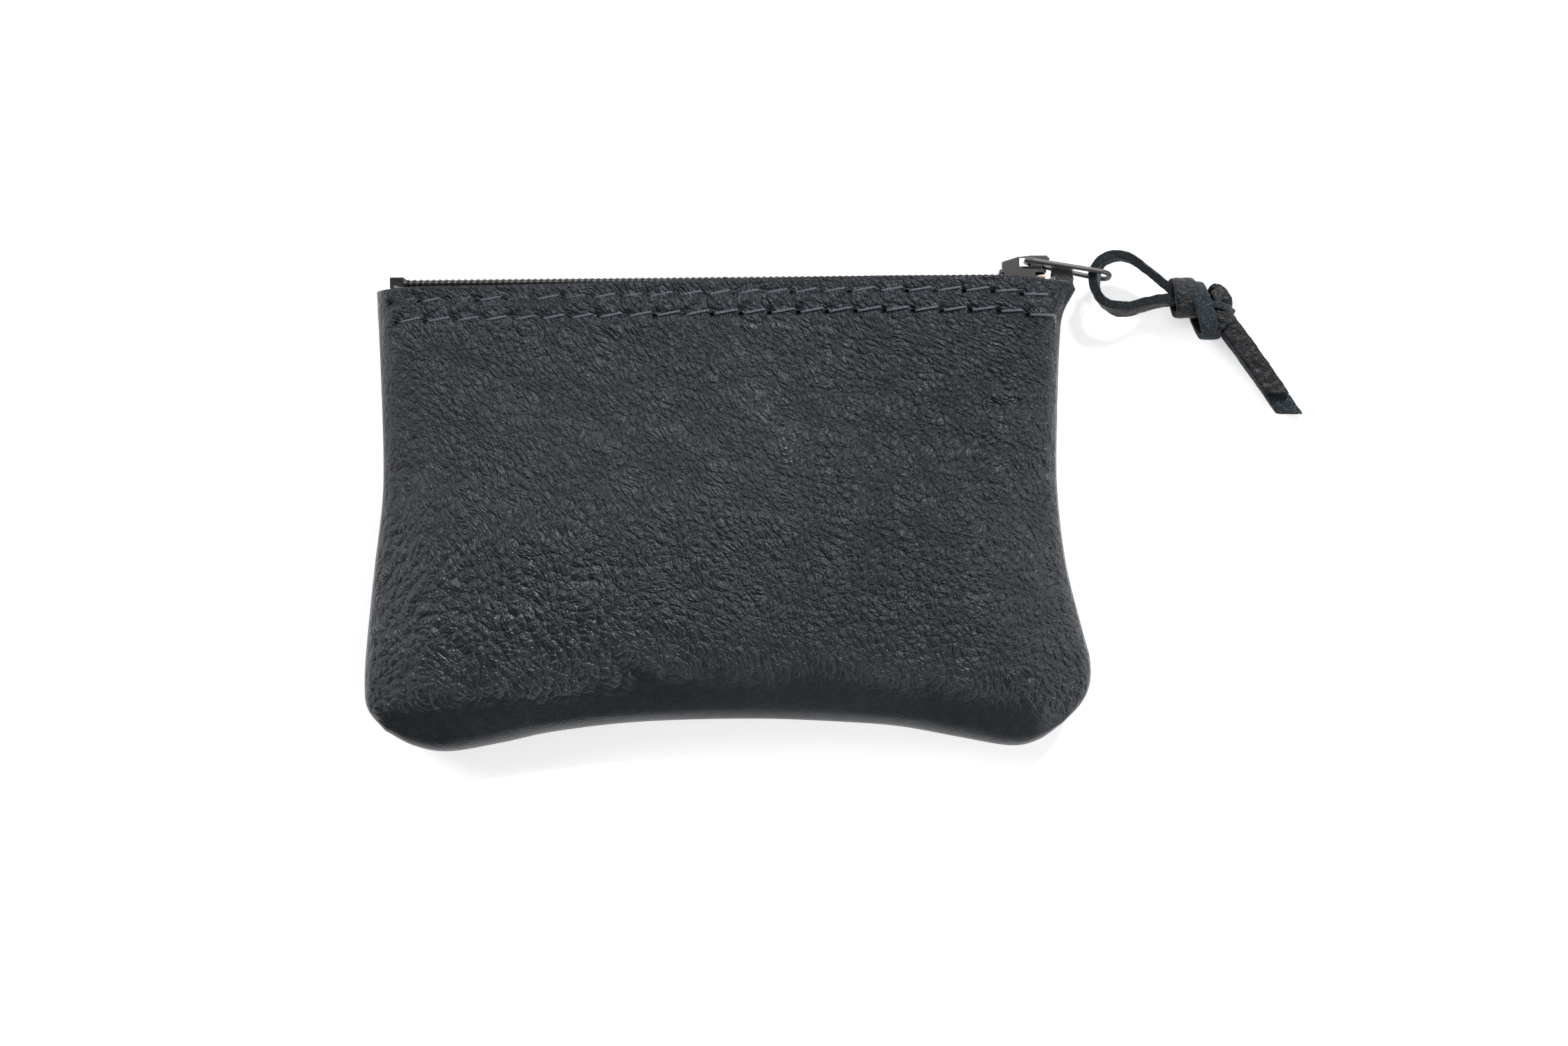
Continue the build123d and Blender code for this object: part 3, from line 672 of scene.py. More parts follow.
def settle(depth, limit):
    """Presses depth softly flat against the table at limit."""
    soft = 0.5
    over = np.clip(depth - (limit - soft), 0, None)
    return np.where(depth < limit - soft, depth, limit - soft + soft * (1 - np.exp(-over / soft)))


def grid_normals(points):
    """Unit normals of a grid of points, pointing away from the seam plane."""
    du, dv = np.gradient(points, axis=1), np.gradient(points, axis=0)
    normals = np.cross(du, dv)
    normals /= np.maximum(np.linalg.norm(normals, axis=2), 1e-9)[..., None]
    return normals


def panel_shell(front):
    """Points, faces and slots of one panel: grain side, raw mouth edge, flesh side and turned allowance."""
    across, upward = sizes().across, sizes().upward
    grid = panel_grid(across, upward)
    full = (FRONT_DEPTH if front else BACK_DEPTH + 0.6) - 0.15
    depth = panel_depth(grid, full, front)
    if not front:
        depth = settle(depth, BACK_DEPTH)
    gap = 0.15
    outer = np.concatenate([grid, (depth + gap)[..., None]], axis=2)
    outer[..., 2] = np.minimum(outer[..., 2], FRONT_DEPTH if front else BACK_DEPTH)
    normals = grid_normals(outer)
    thick = sizes().leather
    inner = outer - normals * thick
    inner[..., 2] = np.maximum(inner[..., 2], gap + 0.05)
    bound = [(r, 0) for r in range(upward, -1, -1)]
    bound += [(0, c) for c in range(1, across + 1)] + [(r, across) for r in range(1, upward + 1)]
    rows, cols = np.array(bound).T
    rim = outer[rows, cols, :2]
    run = np.gradient(rim, axis=0)
    inward = np.stack([-run[:, 1], run[:, 0]], axis=1)
    inward /= np.linalg.norm(inward, axis=1)[:, None]
    rings = []
    for inset, z in ((1.6, gap), (3.1, gap), (4.6, gap), (4.6, gap + thick), (thick + 0.1, gap + thick * 0.9)):
        ring = rim + inward * inset
        ring[:, 1] = np.where(rim[:, 1] > MOUTH_Y - 9.0, rim[:, 1], ring[:, 1])
        fade = ease(MOUTH_Y - 7.0 - rim[:, 1], 0.0, 6.0)
        ring = rim + (ring - rim) * (0.22 + 0.78 * fade)[:, None]
        rings.append(np.column_stack([ring, np.full(len(ring), z)]))
    count = (across + 1) * (upward + 1)
    points = np.vstack([outer.reshape(-1, 3), inner.reshape(-1, 3), *rings])
    faces, slots = [], []
    for r in range(upward):
        for c in range(across):
            a = r * (across + 1) + c
            quad = (a, a + 1, a + across + 2, a + across + 1)
            faces.append(quad)
            slots.append(0)
            faces.append(tuple(i + count for i in reversed(quad)))
            slots.append(1)
    last = upward * (across + 1)
    for c in range(across):
        a = last + c
        faces.append((a, a + 1, a + 1 + count, a + count))
        slots.append(1)
    loops = [rows * (across + 1) + cols]
    for k in range(len(rings)):
        loops.append(2 * count + k * len(bound) + np.arange(len(bound)))
    loops.append(rows * (across + 1) + cols + count)
    for k in range(len(loops) - 1):
        for i in range(len(bound) - 1):
            faces.append((loops[k][i + 1], loops[k][i], loops[k + 1][i], loops[k + 1][i + 1]))
            slots.append(0 if k < 2 else 1)
    sign = 1.0 if front else -1.0
    points[:, 2] = SEAM_Z + sign * points[:, 2]
    if not front:
        faces = [tuple(reversed(face)) for face in faces]
    return points, faces, slots


def lip_height(x, y, front):
    """Height of the grain side near the mouth, where the stitches lie."""
    if not hasattr(lip_height, "grid"):
        lip_height.grid = panel_grid(sizes().across, sizes().upward)
    grid = lip_height.grid
    key = "front" if front else "back"
    if not hasattr(lip_height, key):
        full = (FRONT_DEPTH if front else BACK_DEPTH + 0.6) - 0.15
        depth = panel_depth(grid, full, front)
        setattr(lip_height, key, depth if front else settle(depth, BACK_DEPTH))
    depth = getattr(lip_height, key)
    column = int(np.clip(np.searchsorted(grid[-1, :, 0], x), 1, grid.shape[1] - 1))
    level = np.interp(y, grid[:, column, 1], depth[:, column])
    return level + 0.15


def split_by_side(points, faces, slots):
    """Splits faces into those left and right of the middle; gives each its own points and their old numbers."""
    middle = np.array([np.mean([points[i][0] for i in face]) for face in faces])
    halves = []
    for chosen in (middle < 0, middle >= 0):
        used = sorted({i for face, keep in zip(faces, chosen) if keep for i in face})
        renumber = {old: new for new, old in enumerate(used)}
        part = [tuple(renumber[i] for i in face) for face, keep in zip(faces, chosen) if keep]
        part_slots = [slot for slot, keep in zip(slots, chosen) if keep]
        halves.append((points[used], part, part_slots, used))
    return halves


def bend_with_mouth(piece):
    """Bakes the piece's placement into its points; it does not bend it with the mouth."""
    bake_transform(piece)


def make_front_panel():
    points, faces, slots = panel_shell(front=True)
    materials = [material("purse_leather", leather_material), material("purse_suede", suede_material)]
    whole = new_mesh("front_panel_whole", points, faces, materials, slots)
    normals = np.array([v.normal for v in whole.data.vertices])
    bpy.data.objects.remove(whole)
    for side, (part, part_faces, part_slots, used) in zip(("left", "right"), split_by_side(points, faces, slots)):
        piece = new_mesh(f"front_panel_{side}", part, part_faces, materials, part_slots)
        piece.data.normals_split_custom_set_from_vertices([tuple(n) for n in normals[used]])
        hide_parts("front_panel")
        bend_with_mouth(piece)


def make_back_panel():
    points, faces, slots = panel_shell(front=False)
    materials = [material("purse_leather", leather_material), material("purse_suede", suede_material)]
    piece = new_mesh("back_panel_leather", points, faces, materials, slots)
    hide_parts("back_panel")
    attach(piece, "back_half")


SEAM_INSET = 2.6         # of the hidden seam from the purse's outline
SEAM_THREAD = 0.12       # radius


def make_seam_thread():
    """The hidden seam down the sides and along the bottom, inside the turned edges."""
    grid = panel_grid(60, 40)
    rim = np.concatenate([grid[30::-1, 0], grid[0, 1:-1], grid[:31, -1]])
    run = np.gradient(rim, axis=0)
    inward = np.stack([-run[:, 1], run[:, 0]], axis=1)
    inward /= np.linalg.norm(inward, axis=1)[:, None]
    path = np.column_stack([rim + inward * SEAM_INSET, np.full(len(rim), SEAM_Z)])
    pile = MeshPile()
    pile.add(*tube_rings(path, SEAM_THREAD, 6))
    piece = pile.object("seam_thread_run", material("purse_thread", thread_material))
    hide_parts("seam_thread")
    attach(piece, "back_half")


# ---------------------------------------------------------------- stitches
def twisted_stitch(pile, ends, out):
    """One stitch of two-ply thread that dips into its holes at both ends."""
    steps, twist = 22, 0.95
    start, end = (np.array(p, float) for p in ends)
    length = np.linalg.norm(end - start)
    along = (end - start) / length
    aside = np.cross(out, along)
    half = sizes().thread / 2
    for ply in (0.0, math.pi):
        path = []
        for i in range(steps + 1):
            t = i / steps
            dip = 1.15 * (math.exp(-t * length / 0.38) + math.exp(-(1 - t) * length / 0.38))
            turn = ply + 2 * math.pi * t * length / twist
            offset = half * 0.5 * (math.cos(turn) * aside + math.sin(turn) * out)
            path.append(start + along * t * length + out * (half - dip) + offset)
        pile.add(*tube_rings(path, half * 0.58, 6))


def needle_hole_shade(pile, centre, out, long_half, short_half):
    """A small bowl where the thread goes in, which carries the painted shade of the hole's inside."""
    sides, points = 12, []
    for reach, level in ((1.0, 0.0), (0.75, -0.12), (0.4, -0.2)):
        for k in range(sides):
            angle = 2 * math.pi * k / sides
            points.append(centre + np.array((long_half * reach * math.cos(angle),
                                             short_half * reach * math.sin(angle), 0.0)) + out * level)
    faces = [(r * sides + k, r * sides + (k + 1) % sides, (r + 1) * sides + (k + 1) % sides, (r + 1) * sides + k)
             for r in range(2) for k in range(sides)]
    faces.append(tuple(range(2 * sides, 3 * sides)))
    pile.add(points, faces if out[2] > 0 else [tuple(reversed(face)) for face in faces])


def make_stitches():
    rise = math.tan(math.radians(9.0))
    for half, sign in (("front", 1.0), ("back", -1.0)):
        for row, drop in ROW_DROPS.items():
            piles = {"left": MeshPile(), "right": MeshPile()}
            shade_pits = {"left": MeshPile(), "right": MeshPile()}
            holes = stitch_holes(drop)
            for left, right in zip(holes, holes[1:]):
                middle_y = stitch_line((left + right) / 2, drop)
                slope = stitch_line(right, drop) - stitch_line(left, drop)
                ends = []
                for x, step in ((left + 0.15, -1), (right - 0.25, 1)):
                    y = middle_y + step * ((right - left) / 2 * rise + slope / 2)
                    ends.append((x, y, SEAM_Z + sign * (lip_height(x, y, sign > 0) + 0.10)))
                pile = piles["left" if (left + right) / 2 < 0 else "right"]
                out = np.array((0.0, 0.0, sign))
                twisted_stitch(pile, ends, out)
                x, y = ends[0][0] - 0.12, ends[0][1] + 0.02
                centre = np.array((x, y, SEAM_Z + sign * (lip_height(x, y, sign > 0) + 0.03)))
                needle_hole_shade(shade_pits["left" if (left + right) / 2 < 0 else "right"], centre, out, 0.42, 0.24)
            for side, pile in piles.items():
                slots = [0] * len(pile.faces) + [1] * len(shade_pits[side].faces)
                pile.add(shade_pits[side].points, shade_pits[side].faces)
                # the bowls take the hole material: painted shade inside each needle hole
                looks = [material("purse_thread", thread_material), material("needle_hole_shade", hole_shade_material)]
                piece = new_mesh(f"stitches_{half}_{row}_{side}", pile.points, pile.faces, looks, slots)
                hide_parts(f"stitches_{half}_{row}")
                if half == "front":
                    bend_with_mouth(piece)
                else:
                    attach(piece, "back_half")


# ---------------------------------------------------------------- zip
TAPE_START_X, TAPE_END_X = -52.3, 51.9
TAPE_THICK = 0.42


def make_tapes():
    """Each tape lies flat under its coil, then hangs down inside the lip, its end turned up and fraying."""
    top = coil_low.y - 0.05
    for half, sign in (("front", 1.0), ("back", -1.0)):
        xs = np.linspace(TAPE_START_X, TAPE_END_X, 209)
        rows = []
        for x in xs:
            inner = max(0.9, lip_height(x, MOUTH_Y - 3.5, sign > 0) - sizes().leather - 0.45)
            lift = 0.8 * ease(x, 50.4, 51.6) + 0.4 * (1 - ease(x, TAPE_START_X, TAPE_START_X + 1.0))
            lift = float(lift)
            section = [
                (0.12, top + lift), (0.6 * inner, top + lift), (inner - 0.5, top), (inner - 0.1, top - 0.35),
                (inner, top - 1.0), (inner, top - 4.5), (inner - 0.1, top - 8.2),
            ]
            rows.append([(x, y, z) for z, y in section])
        grid = np.array(rows)
        flat = grid.reshape(-1, 3)
        width = grid.shape[1]
        faces = []
        for i in range(len(xs) - 1):
            for k in range(width - 1):
                a = i * width + k
                faces.append((a, a + 1, a + width + 1, a + width))
        flat[:, 1] += 0.05 * soft_noise(flat, 1.5, 7)
        flat[:, 2] = SEAM_Z + sign * flat[:, 2]
        sides = split_by_side(flat, faces, [0] * len(faces)) if half == "front" else [(flat, faces, None, None)]
        for side, (part, part_faces, _, _) in zip(("left", "right") if half == "front" else ("whole",), sides):
            weave = material("zip_tape_weave", tape_material)
            piece = new_mesh(f"zip_tape_{half}_{side}", part, part_faces, [weave])
            add_thickness(piece, TAPE_THICK)
            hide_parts(f"zip_tape_{half}")
            if half == "front":
                bend_with_mouth(piece)
            else:
                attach(piece, "back_half")
def make_tape_ends():
    """The tapes' turned-up ends past the slider, frayed where they are cut."""
    weave = material("zip_tape_weave", tape_material)
    low = Vector((slider_high.x + 0.3, tape_low.y + 8.5, 0.1))
    for half, sign in (("front", 1.0), ("back", -1.0)):
        pile = MeshPile()
        size = np.array((3.4 if sign > 0 else 2.9, 3.0, 1.3))
        points, faces = lump(size, 9)
        points = points + np.array((low.x, low.y, low.z)) + size / 2
        points[:, 1] += -0.16 * (points[:, 0] - low.x)
        points = roughen(points, 0.16, 0.8, 41 + sign)
        pile.add(points, faces)
        fuzz(pile, points, faces, 260, 0.42, 0.035, 5 if sign > 0 else 6)
        placed = np.array(pile.points)
        placed[:, 2] = SEAM_Z + sign * placed[:, 2]
        piece = new_mesh(f"zip_tape_{half}_end", placed, pile.faces, [weave])
        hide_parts(f"zip_tape_{half}")
        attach(piece, "back_half")


def lump(size, steps):
    """A box of the given size about its middle with softened corners, as points and faces."""
    grid = [-1 + 2 * i / steps for i in range(steps + 1)]
    points, faces, found = [], [], {}

    def corner(*p):
        if p not in found:
            found[p] = len(points)
            v = np.array([grid[k] for k in p])
            points.append(v * size / 2 * (1 - 0.10 * (np.sum(v**2) - np.max(v**2))))
        return found[p]

    for axis in range(3):
        for end in (0, steps):
            for i in range(steps):
                for k in range(steps):
                    ring = []
                    for a, b in ((i, k), (i + 1, k), (i + 1, k + 1), (i, k + 1)):
                        p = [a, b]
                        p.insert(axis, end)
                        ring.append(corner(*p))
                    faces.append(tuple(ring) if (end == 0) != (axis != 1) else tuple(reversed(ring)))
    return np.array(points), faces


def fuzz(pile, points, faces, count, length, thick, seed):
    """Adds short stray fibres, as thin spikes, on randomly chosen faces."""
    rng = np.random.default_rng(seed)
    points = np.asarray(points, float)
    for index in rng.integers(0, len(faces), count):
        corners = points[list(faces[index])]
        weights = rng.random(len(corners))
        root = (corners * (weights / weights.sum())[:, None]).sum(axis=0)
        normal = np.cross(corners[1] - corners[0], corners[2] - corners[0])
        normal /= max(np.linalg.norm(normal), 1e-9)
        lean = normal + 0.8 * rng.normal(size=3)
        lean /= np.linalg.norm(lean)
        aside = np.cross(lean, rng.normal(size=3))
        aside /= max(np.linalg.norm(aside), 1e-9)
        other = np.cross(lean, aside)
        tip = root + lean * length * (0.4 + 0.6 * rng.random()) + aside * 0.1 * length
        base = [root + thick * (math.cos(a) * aside + math.sin(a) * other) for a in (0.0, 2.1, 4.2)]
        pile.add([*base, tip], [(0, 1, 3), (1, 2, 3), (2, 0, 3), (0, 2, 1)])


def add_thickness(piece, thick):
    """Turns a sheet into a solid, so many millimetres thick, with the change applied."""
    solid = piece.modifiers.new("thickness", "SOLIDIFY")
    solid.thickness = thick * MM
    solid.offset = 0.0
    apply_modifiers(piece)


def apply_modifiers(piece):
    graph = bpy.context.evaluated_depsgraph_get()
    mesh = bpy.data.meshes.new_from_object(piece.evaluated_get(graph))
    piece.modifiers.clear()
    piece.data = mesh


def coil_path(sign, start_x, end_x):
    """Centre line of one coil: a flattened helix whose heads reach past the seam plane."""
    pitch = sizes().coil_pitch
    turns = int((end_x - start_x) / pitch)
    steps = 18
    middle_y = (coil_low.y + coil_high.y) / 2
    path = []
    for i in range(turns * steps + 1):
        angle = 2 * math.pi * i / steps
        x = start_x + pitch * i / steps + 0.16 * pitch * math.sin(angle)
        y = middle_y + 0.50 * math.cos(angle)
        z = 0.93 + 0.72 * math.sin(angle)
        path.append((x, y, SEAM_Z + sign * z))
    return path


def make_coils():
    nylon = material("zip_nylon", coil_material)
    spans = {"left": (coil_low.x + 0.1, 0.0), "right": (0.0, coil_high.x)}
    for half, sign in (("front", 1.0), ("back", -1.0)):
        for side, (start_x, end_x) in spans.items():
            pile = MeshPile()
            shift = 0.0 if sign > 0 else 0.5 * sizes().coil_pitch
            pile.add(*tube_rings(coil_path(sign, start_x + shift, end_x), 0.26, 8))
            middle_y = (coil_low.y + coil_high.y) / 2
            core = [(x, middle_y, SEAM_Z + sign * 1.35) for x in np.arange(start_x, end_x + 0.1, 0.5)]
            pile.add(*tube_rings(core, 0.30, 8))
            piece = pile.object(f"zip_coil_{half}_{side}", nylon)
            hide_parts(f"zip_coil_{half}", f"zip_core_{half}")
            if half == "front":
                bend_with_mouth(piece)
            else:
                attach(piece, "back_half")


def make_clips():
    stop = material("stop_metal", lambda: metal_material("stop_metal", (0.17, 0.145, 0.12), 0.35, 0.9))
    repaint("top_stop_back", stop)
    repaint("bottom_stop", material("clip_enamel", clip_material))
    # the front stop moves with the tape's closed end; it is drawn as a bent band
    low, high = (Vector(corner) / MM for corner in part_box("top_stop_front"))
    middle, reach, thick = (low + high) / 2, (high - low) / 2, 0.32
    path = []
    for i in range(41):
        angle = math.radians(-150 + 300 * i / 40)
        across, rise = math.cos(angle), math.sin(angle)
        across = math.copysign(abs(across) ** 0.6, across) * (reach.y - thick / 2)
        rise = math.copysign(abs(rise) ** 0.6, rise) * (reach.z - thick / 2)
        path.append((middle.x, middle.y + across, middle.z + rise))
    points, faces, _ = strap_mesh(path, [np.array((1.0, 0.0, 0.0))] * len(path), 2 * reach.x, thick)
    piece = new_mesh("top_stop_front_band", points, faces, [stop])
    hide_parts("top_stop_front")
    bend_with_mouth(piece)


# ---------------------------------------------------------------- slider and pull
def gunmetal():
    return material("gunmetal", lambda: metal_material("gunmetal", tuple(colours().metal), 0.16, 1.6))


def make_slider():
    repaint("slider_body", gunmetal())


def make_pull():
    repaint("pull_wire", gunmetal())


# ---------------------------------------------------------------- lace
LACE_HINGE = (59.3, 37.3)
LACE_TILT = math.radians(7.0)
LOOP_ROUTE = [
    (70.2, 35.6), (66.9, 38.4), (63.1, 41.0), (59.0, 40.0), (57.9, 36.6),
    (59.4, 33.0), (63.4, 31.7), (67.2, 33.2), (70.6, 33.55),
]
LACE_WIDTH, LACE_THICK = 3.2, 1.4


def lace_place(points):
    """Tilts points drawn level at the seam plane, so that the far end of the lace drops to the table."""
    hinge = Vector((LACE_HINGE[0], LACE_HINGE[1], SEAM_Z))
    turn = Matrix.Rotation(LACE_TILT, 3, "Y")
    moved = []
    for p in points:
        local = Vector((p[0], p[1], p[2])) - Vector((LACE_HINGE[0], LACE_HINGE[1], 0.0))
        moved.append(tuple(hinge + turn @ local))
    return np.array(moved)


def route_points(name, route, resolution=14):
    """Points along the smooth line that has the route's points as its controls, in millimetres."""
    curve = bpy.data.curves.new(name, "CURVE")
    curve.dimensions = "3D"
    spline = curve.splines.new("NURBS")
    spline.points.add(len(route) - 1)
    for point, place in zip(spline.points, route):
        point.co = (*place, 1.0)
    spline.order_u = 3
    spline.use_endpoint_u = True
    spline.resolution_u = resolution
    holder = bpy.data.objects.new(name, curve)
    mesh = bpy.data.meshes.new_from_object(holder)
    found = np.array([tuple(v.co) for v in mesh.vertices])
    bpy.data.objects.remove(holder)
    return found


def strap_mesh(path, wide_axis, width, thick, looks=(0, 2, 1)):
    """A flat leather strip along a path; looks gives the slots of its grain, its edges and its flesh side.

    wide_axis gives the direction of its width at each point; the grain faces path direction x width."""
    outline = strap_outline(width, thick)
    path = np.asarray(path, float)
    tangents = np.gradient(path, axis=0)
    tangents /= np.linalg.norm(tangents, axis=1)[:, None]
    points, faces, face_slots = [], [], []
    for centre, tangent, wide in zip(path, tangents, wide_axis):
        wide = wide - tangent * (wide @ tangent)
        wide /= np.linalg.norm(wide)
        out = np.cross(tangent, wide)
        for u, v, _ in outline:
            points.append(centre + wide * u + out * v)
    sides = len(outline)
    for i in range(len(path) - 1):
        for k in range(sides):
            a, b = i * sides + k, i * sides + (k + 1) % sides
            faces.append((a, b, b + sides, a + sides))
            face_slots.append(looks[outline[k][2]])
    faces.append(tuple(range(sides))[::-1])
    faces.append(tuple(range((len(path) - 1) * sides, len(path) * sides)))
    face_slots += [looks[1], looks[1]]
    return np.array(points), faces, face_slots


def strap_outline(width, thick):
    """Section of the lace, its grain side crowned: (across, out, 0 grain, 1 edge or 2 flesh) for each corner."""
    half, deep = width / 2, thick / 2
    section = []
    for i in range(9):
        u = -1 + 2 * i / 8
        section.append((u * half * 0.97, deep * (1 - 0.22 * u**6), 0 if i < 8 else 1))
    for i in range(5):
        v = 1 - 2 * (i + 1) / 6
        section.append((half * (1.0 - 0.02 * (i % 2)), deep * v, 1))
    for i in range(9):
        u = 1 - 2 * i / 8
        section.append((u * half, -deep, 2 if i < 8 else 1))
    for i in range(5):
        v = -1 + 2 * (i + 1) / 6
        section.append((-half * (1.0 - 0.02 * (i % 2)), deep * v, 1))
    return section


def roughen(points, amount, scale, seed):
    """Small uneven shifts, as a hand-cut strip has."""
    shifts = np.stack([soft_noise(points, scale, seed + k) for k in range(3)], axis=1)
    return points + amount * shifts


def lace_materials():
    flesh = material("lace_suede", lambda: suede_material("lace_suede", 0.3))
    edge = material("lace_edge", lambda: suede_material("lace_edge", 0.2, 0.45))
    return [material("lace_leather", lace_material), flesh, edge]


def lace_piece(name, points, faces, slots, node):
    piece = new_mesh(name, points, faces, lace_materials(), slots)
    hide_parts(node)
    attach(piece, "lace")
    return piece


def furry_piece(name, points, faces, slots, node, count, seed):
    """A piece of lace with stray fibres on its edges and flesh side."""
    pile = MeshPile()
    pile.add(list(points), faces)
    napped = [face for face, slot in zip(faces, slots) if slot and len(face) == 4]
    fuzz(pile, points, napped, count, 0.40, 0.034, seed)
    slots = list(slots) + [2] * (len(pile.faces) - len(slots))
    return lace_piece(name, pile.points, pile.faces, slots, node)


def make_lace_loop():
    """The loop through the wire: it stands on its edge and leans, so that its faces show in turn."""
    level = route_points("loop_line", [(x, y, 0.0) for x, y in LOOP_ROUTE])
    path = lace_place(level)
    first, last = path[0] - path[1], path[-1] - path[-2]
    reach = [path[0] + first / np.linalg.norm(first) * d for d in (1.5, 0.75)]
    into = [path[-1] + last / np.linalg.norm(last) * d for d in (0.75, 1.5)]
    strip = np.array([*reach, *path, *into])
    t = np.linspace(0, 1, len(strip))
    lean = np.radians(np.interp(t, [0, 0.12, 0.30, 0.46, 0.62, 0.74, 1.0], [-10, -12, 14, 27, 8, -24, -14]))
    upright = np.array(Matrix.Rotation(LACE_TILT, 3, "Y") @ Vector((0, 0, 1)))
    tangents = np.gradient(strip, axis=0)
    outward = np.cross(tangents / np.linalg.norm(tangents, axis=1)[:, None], upright)
    wide = upright * np.cos(lean)[:, None] + outward * np.sin(lean)[:, None]
    points, faces, slots = strap_mesh(strip, wide, LACE_WIDTH, LACE_THICK)
    points = roughen(points, 0.10, 0.9, 11)
    return furry_piece("lace_loop_strip", points, faces, slots, "lace_loop", 900, 3), path


def knot_wrap(centre, turn, length, half_y, half_z, lean, grain_out, seed):
    """One wrap of the knot: the lace wound once round the strips inside it, leaning along the knot."""
    steps = 64
    axis = np.array([math.cos(turn), math.sin(turn), 0.0])
    aside = np.array([-axis[1], axis[0], 0.0])
    path = []
    for i in range(steps + 1):
        angle = 2 * math.pi * i / steps
        cy = math.copysign(abs(math.cos(angle)) ** 0.8, math.cos(angle))
        cz = math.copysign(abs(math.sin(angle)) ** 0.8, math.sin(angle))
        path.append(np.array([*centre, 0.0]) + aside * half_y * cy + np.array([0, 0, half_z * cz])
                    + axis * lean * cy)
    looks = (0, 2, 1) if grain_out else (1, 2, 0)
    points, faces, slots = strap_mesh(path, [axis] * len(path), length, 1.1, looks)
    return roughen(points, 0.12, 1.2, seed), faces, slots


def knot_fold(route, widths, grain_up, seed):
    """A short run of the lace over the knot, lying flat; its width may change along it."""
    path = route_points("fold_line", route, 8)
    tangents = np.gradient(path, axis=0)
    wide = np.cross((0.0, 0.0, 1.0), tangents)
    points, faces, slots = strap_mesh(path, wide, 1.0, 1.1, (1, 2, 0) if not grain_up else (0, 2, 1))
    sides = len(strap_outline(1, 1))
    ring = np.arange(len(points)) // sides
    width = np.interp(ring / (len(path) - 1), np.linspace(0, 1, len(widths)), widths)
    wide /= np.linalg.norm(wide, axis=1)[:, None]
    across = ((points - path[ring]) * wide[ring]).sum(axis=1)
    points = points + wide[ring] * (across * (width - 1))[:, None]
    return roughen(points, 0.10, 0.9, seed), faces, slots


KNOT_WRAPS = [
    # centre, turn of its axis, width, half height, half thickness, lean, grain side out
    ((72.7, 33.9), 1.0, 3.7, 2.7, 2.3, -0.35, True),
    ((75.5, 31.9), 2.0, 2.9, 4.15, 2.6, -1.25, False),
]
KNOT_FOLDS = [
    # route, widths along it, grain side up
    ([(77.5, 34.4, -0.4), (77.6, 35.3, 1.0), (78.0, 34.4, 2.6), (78.6, 32.8, 2.6), (79.0, 31.4, 1.0)],
     (1.9, 2.2, 2.5, 2.9, 2.4), True),
    ([(74.4, 33.8, 0.0), (76.5, 33.5, 0.2), (78.7, 32.4, 0.0)], (3.4, 3.6, 2.8), True),
    ([(76.0, 32.8, 2.3), (77.4, 32.7, 3.1), (78.9, 32.2, 3.0), (80.2, 31.6, 1.4)], (0.9, 1.1, 1.1, 0.9), False),
    ([(76.6, 30.9, 2.2), (77.6, 31.0, 2.7), (79.2, 30.7, 2.6), (80.2, 30.2, 1.0)], (1.6, 2.0, 2.0, 1.6), True),
    ([(76.5, 28.2, 0.2), (77.0, 28.9, 2.0), (78.0, 30.0, 2.5), (78.8, 30.9, 2.2)], (1.5, 2.0, 2.2, 2.0), True),
]


def make_lace_knot():
    """The knot: two wraps and the short folds between them."""
    points, faces, slots = [], [], []
    made = [knot_wrap(c, math.radians(turn), *rest, 20 + k) for k, (c, turn, *rest) in enumerate(KNOT_WRAPS)]
    made += [knot_fold(*fold, 30 + k) for k, fold in enumerate(KNOT_FOLDS)]
    for part, part_faces, part_slots in made:
        start = len(points)
        points.extend(part)
        faces.extend(tuple(i + start for i in face) for face in part_faces)
        slots.extend(part_slots)
    return furry_piece("lace_knot_wraps", lace_place(points), faces, slots, "lace_knot", 700, 4)


TAIL_START = (76.6, 33.4)
TAIL_TURN = math.radians(-53.6)


def make_tail(name, node, length, level, grain_up, cut, shift):
    """One tail of the lace, gently wavy, cut at a slant."""
    steps = 70
    along = np.array([math.cos(TAIL_TURN), math.sin(TAIL_TURN)])
    aside = np.array([-along[1], along[0]])
    path, wide = [], []
    for i in range(steps + 1):
        t = i / steps
        bend = 0.30 * math.sin(2.4 * t + 0.4) - 0.30 * math.sin(0.4) + shift
        place = np.array(TAIL_START) + along * length * t + aside * bend
        path.append((place[0], place[1], level + 0.10 * math.sin(5 * t) * t))
        wide.append(np.array([*aside, 0.0]))
    path = np.array(path)
    points, faces, slots = strap_mesh(path, wide, LACE_WIDTH + 0.1, LACE_THICK - 0.06,
                                      (0, 2, 1) if grain_up else (1, 2, 0))
    sides = len(strap_outline(1, 1))
    ring = np.arange(len(points)) // sides
    across = ((points - path[ring])[:, :2] * aside).sum(axis=1)
    stretch = cut * across / LACE_WIDTH * ease(ring / steps, 0.7, 1.0)
    points[:, :2] += along * stretch[:, None]
    folds = 0.05 * np.sin(ring * 1.1 + across * 1.4) + 0.05 * np.sin(ring * 0.47 - across * 2.0)
    points[:, 2] += folds * (points[:, 2] > path[ring, 2])
    points = roughen(points, 0.08, 0.8, 31 if grain_up else 35)
    return furry_piece(name, lace_place(points), faces, slots, node, 260, 8 if grain_up else 9)


# ---------------------------------------------------------------- stage
FLOOR_HALF = 900
LIGHTS = (
    # name, place and size in millimetres, power in watts
    ("key_light", (240, 400, 380), 130, 5.4),
    ("fill_light", (-420, 260, 300), 260, 2.0),
    ("low_light", (430, -260, 260), 240, 1.4),
)
CAMERA_MIDDLE = (8.8, -1.2)
CAMERA_HEIGHT = 586.0    # above the plane where the panels meet
CAMERA_TURN = math.radians(-0.55)


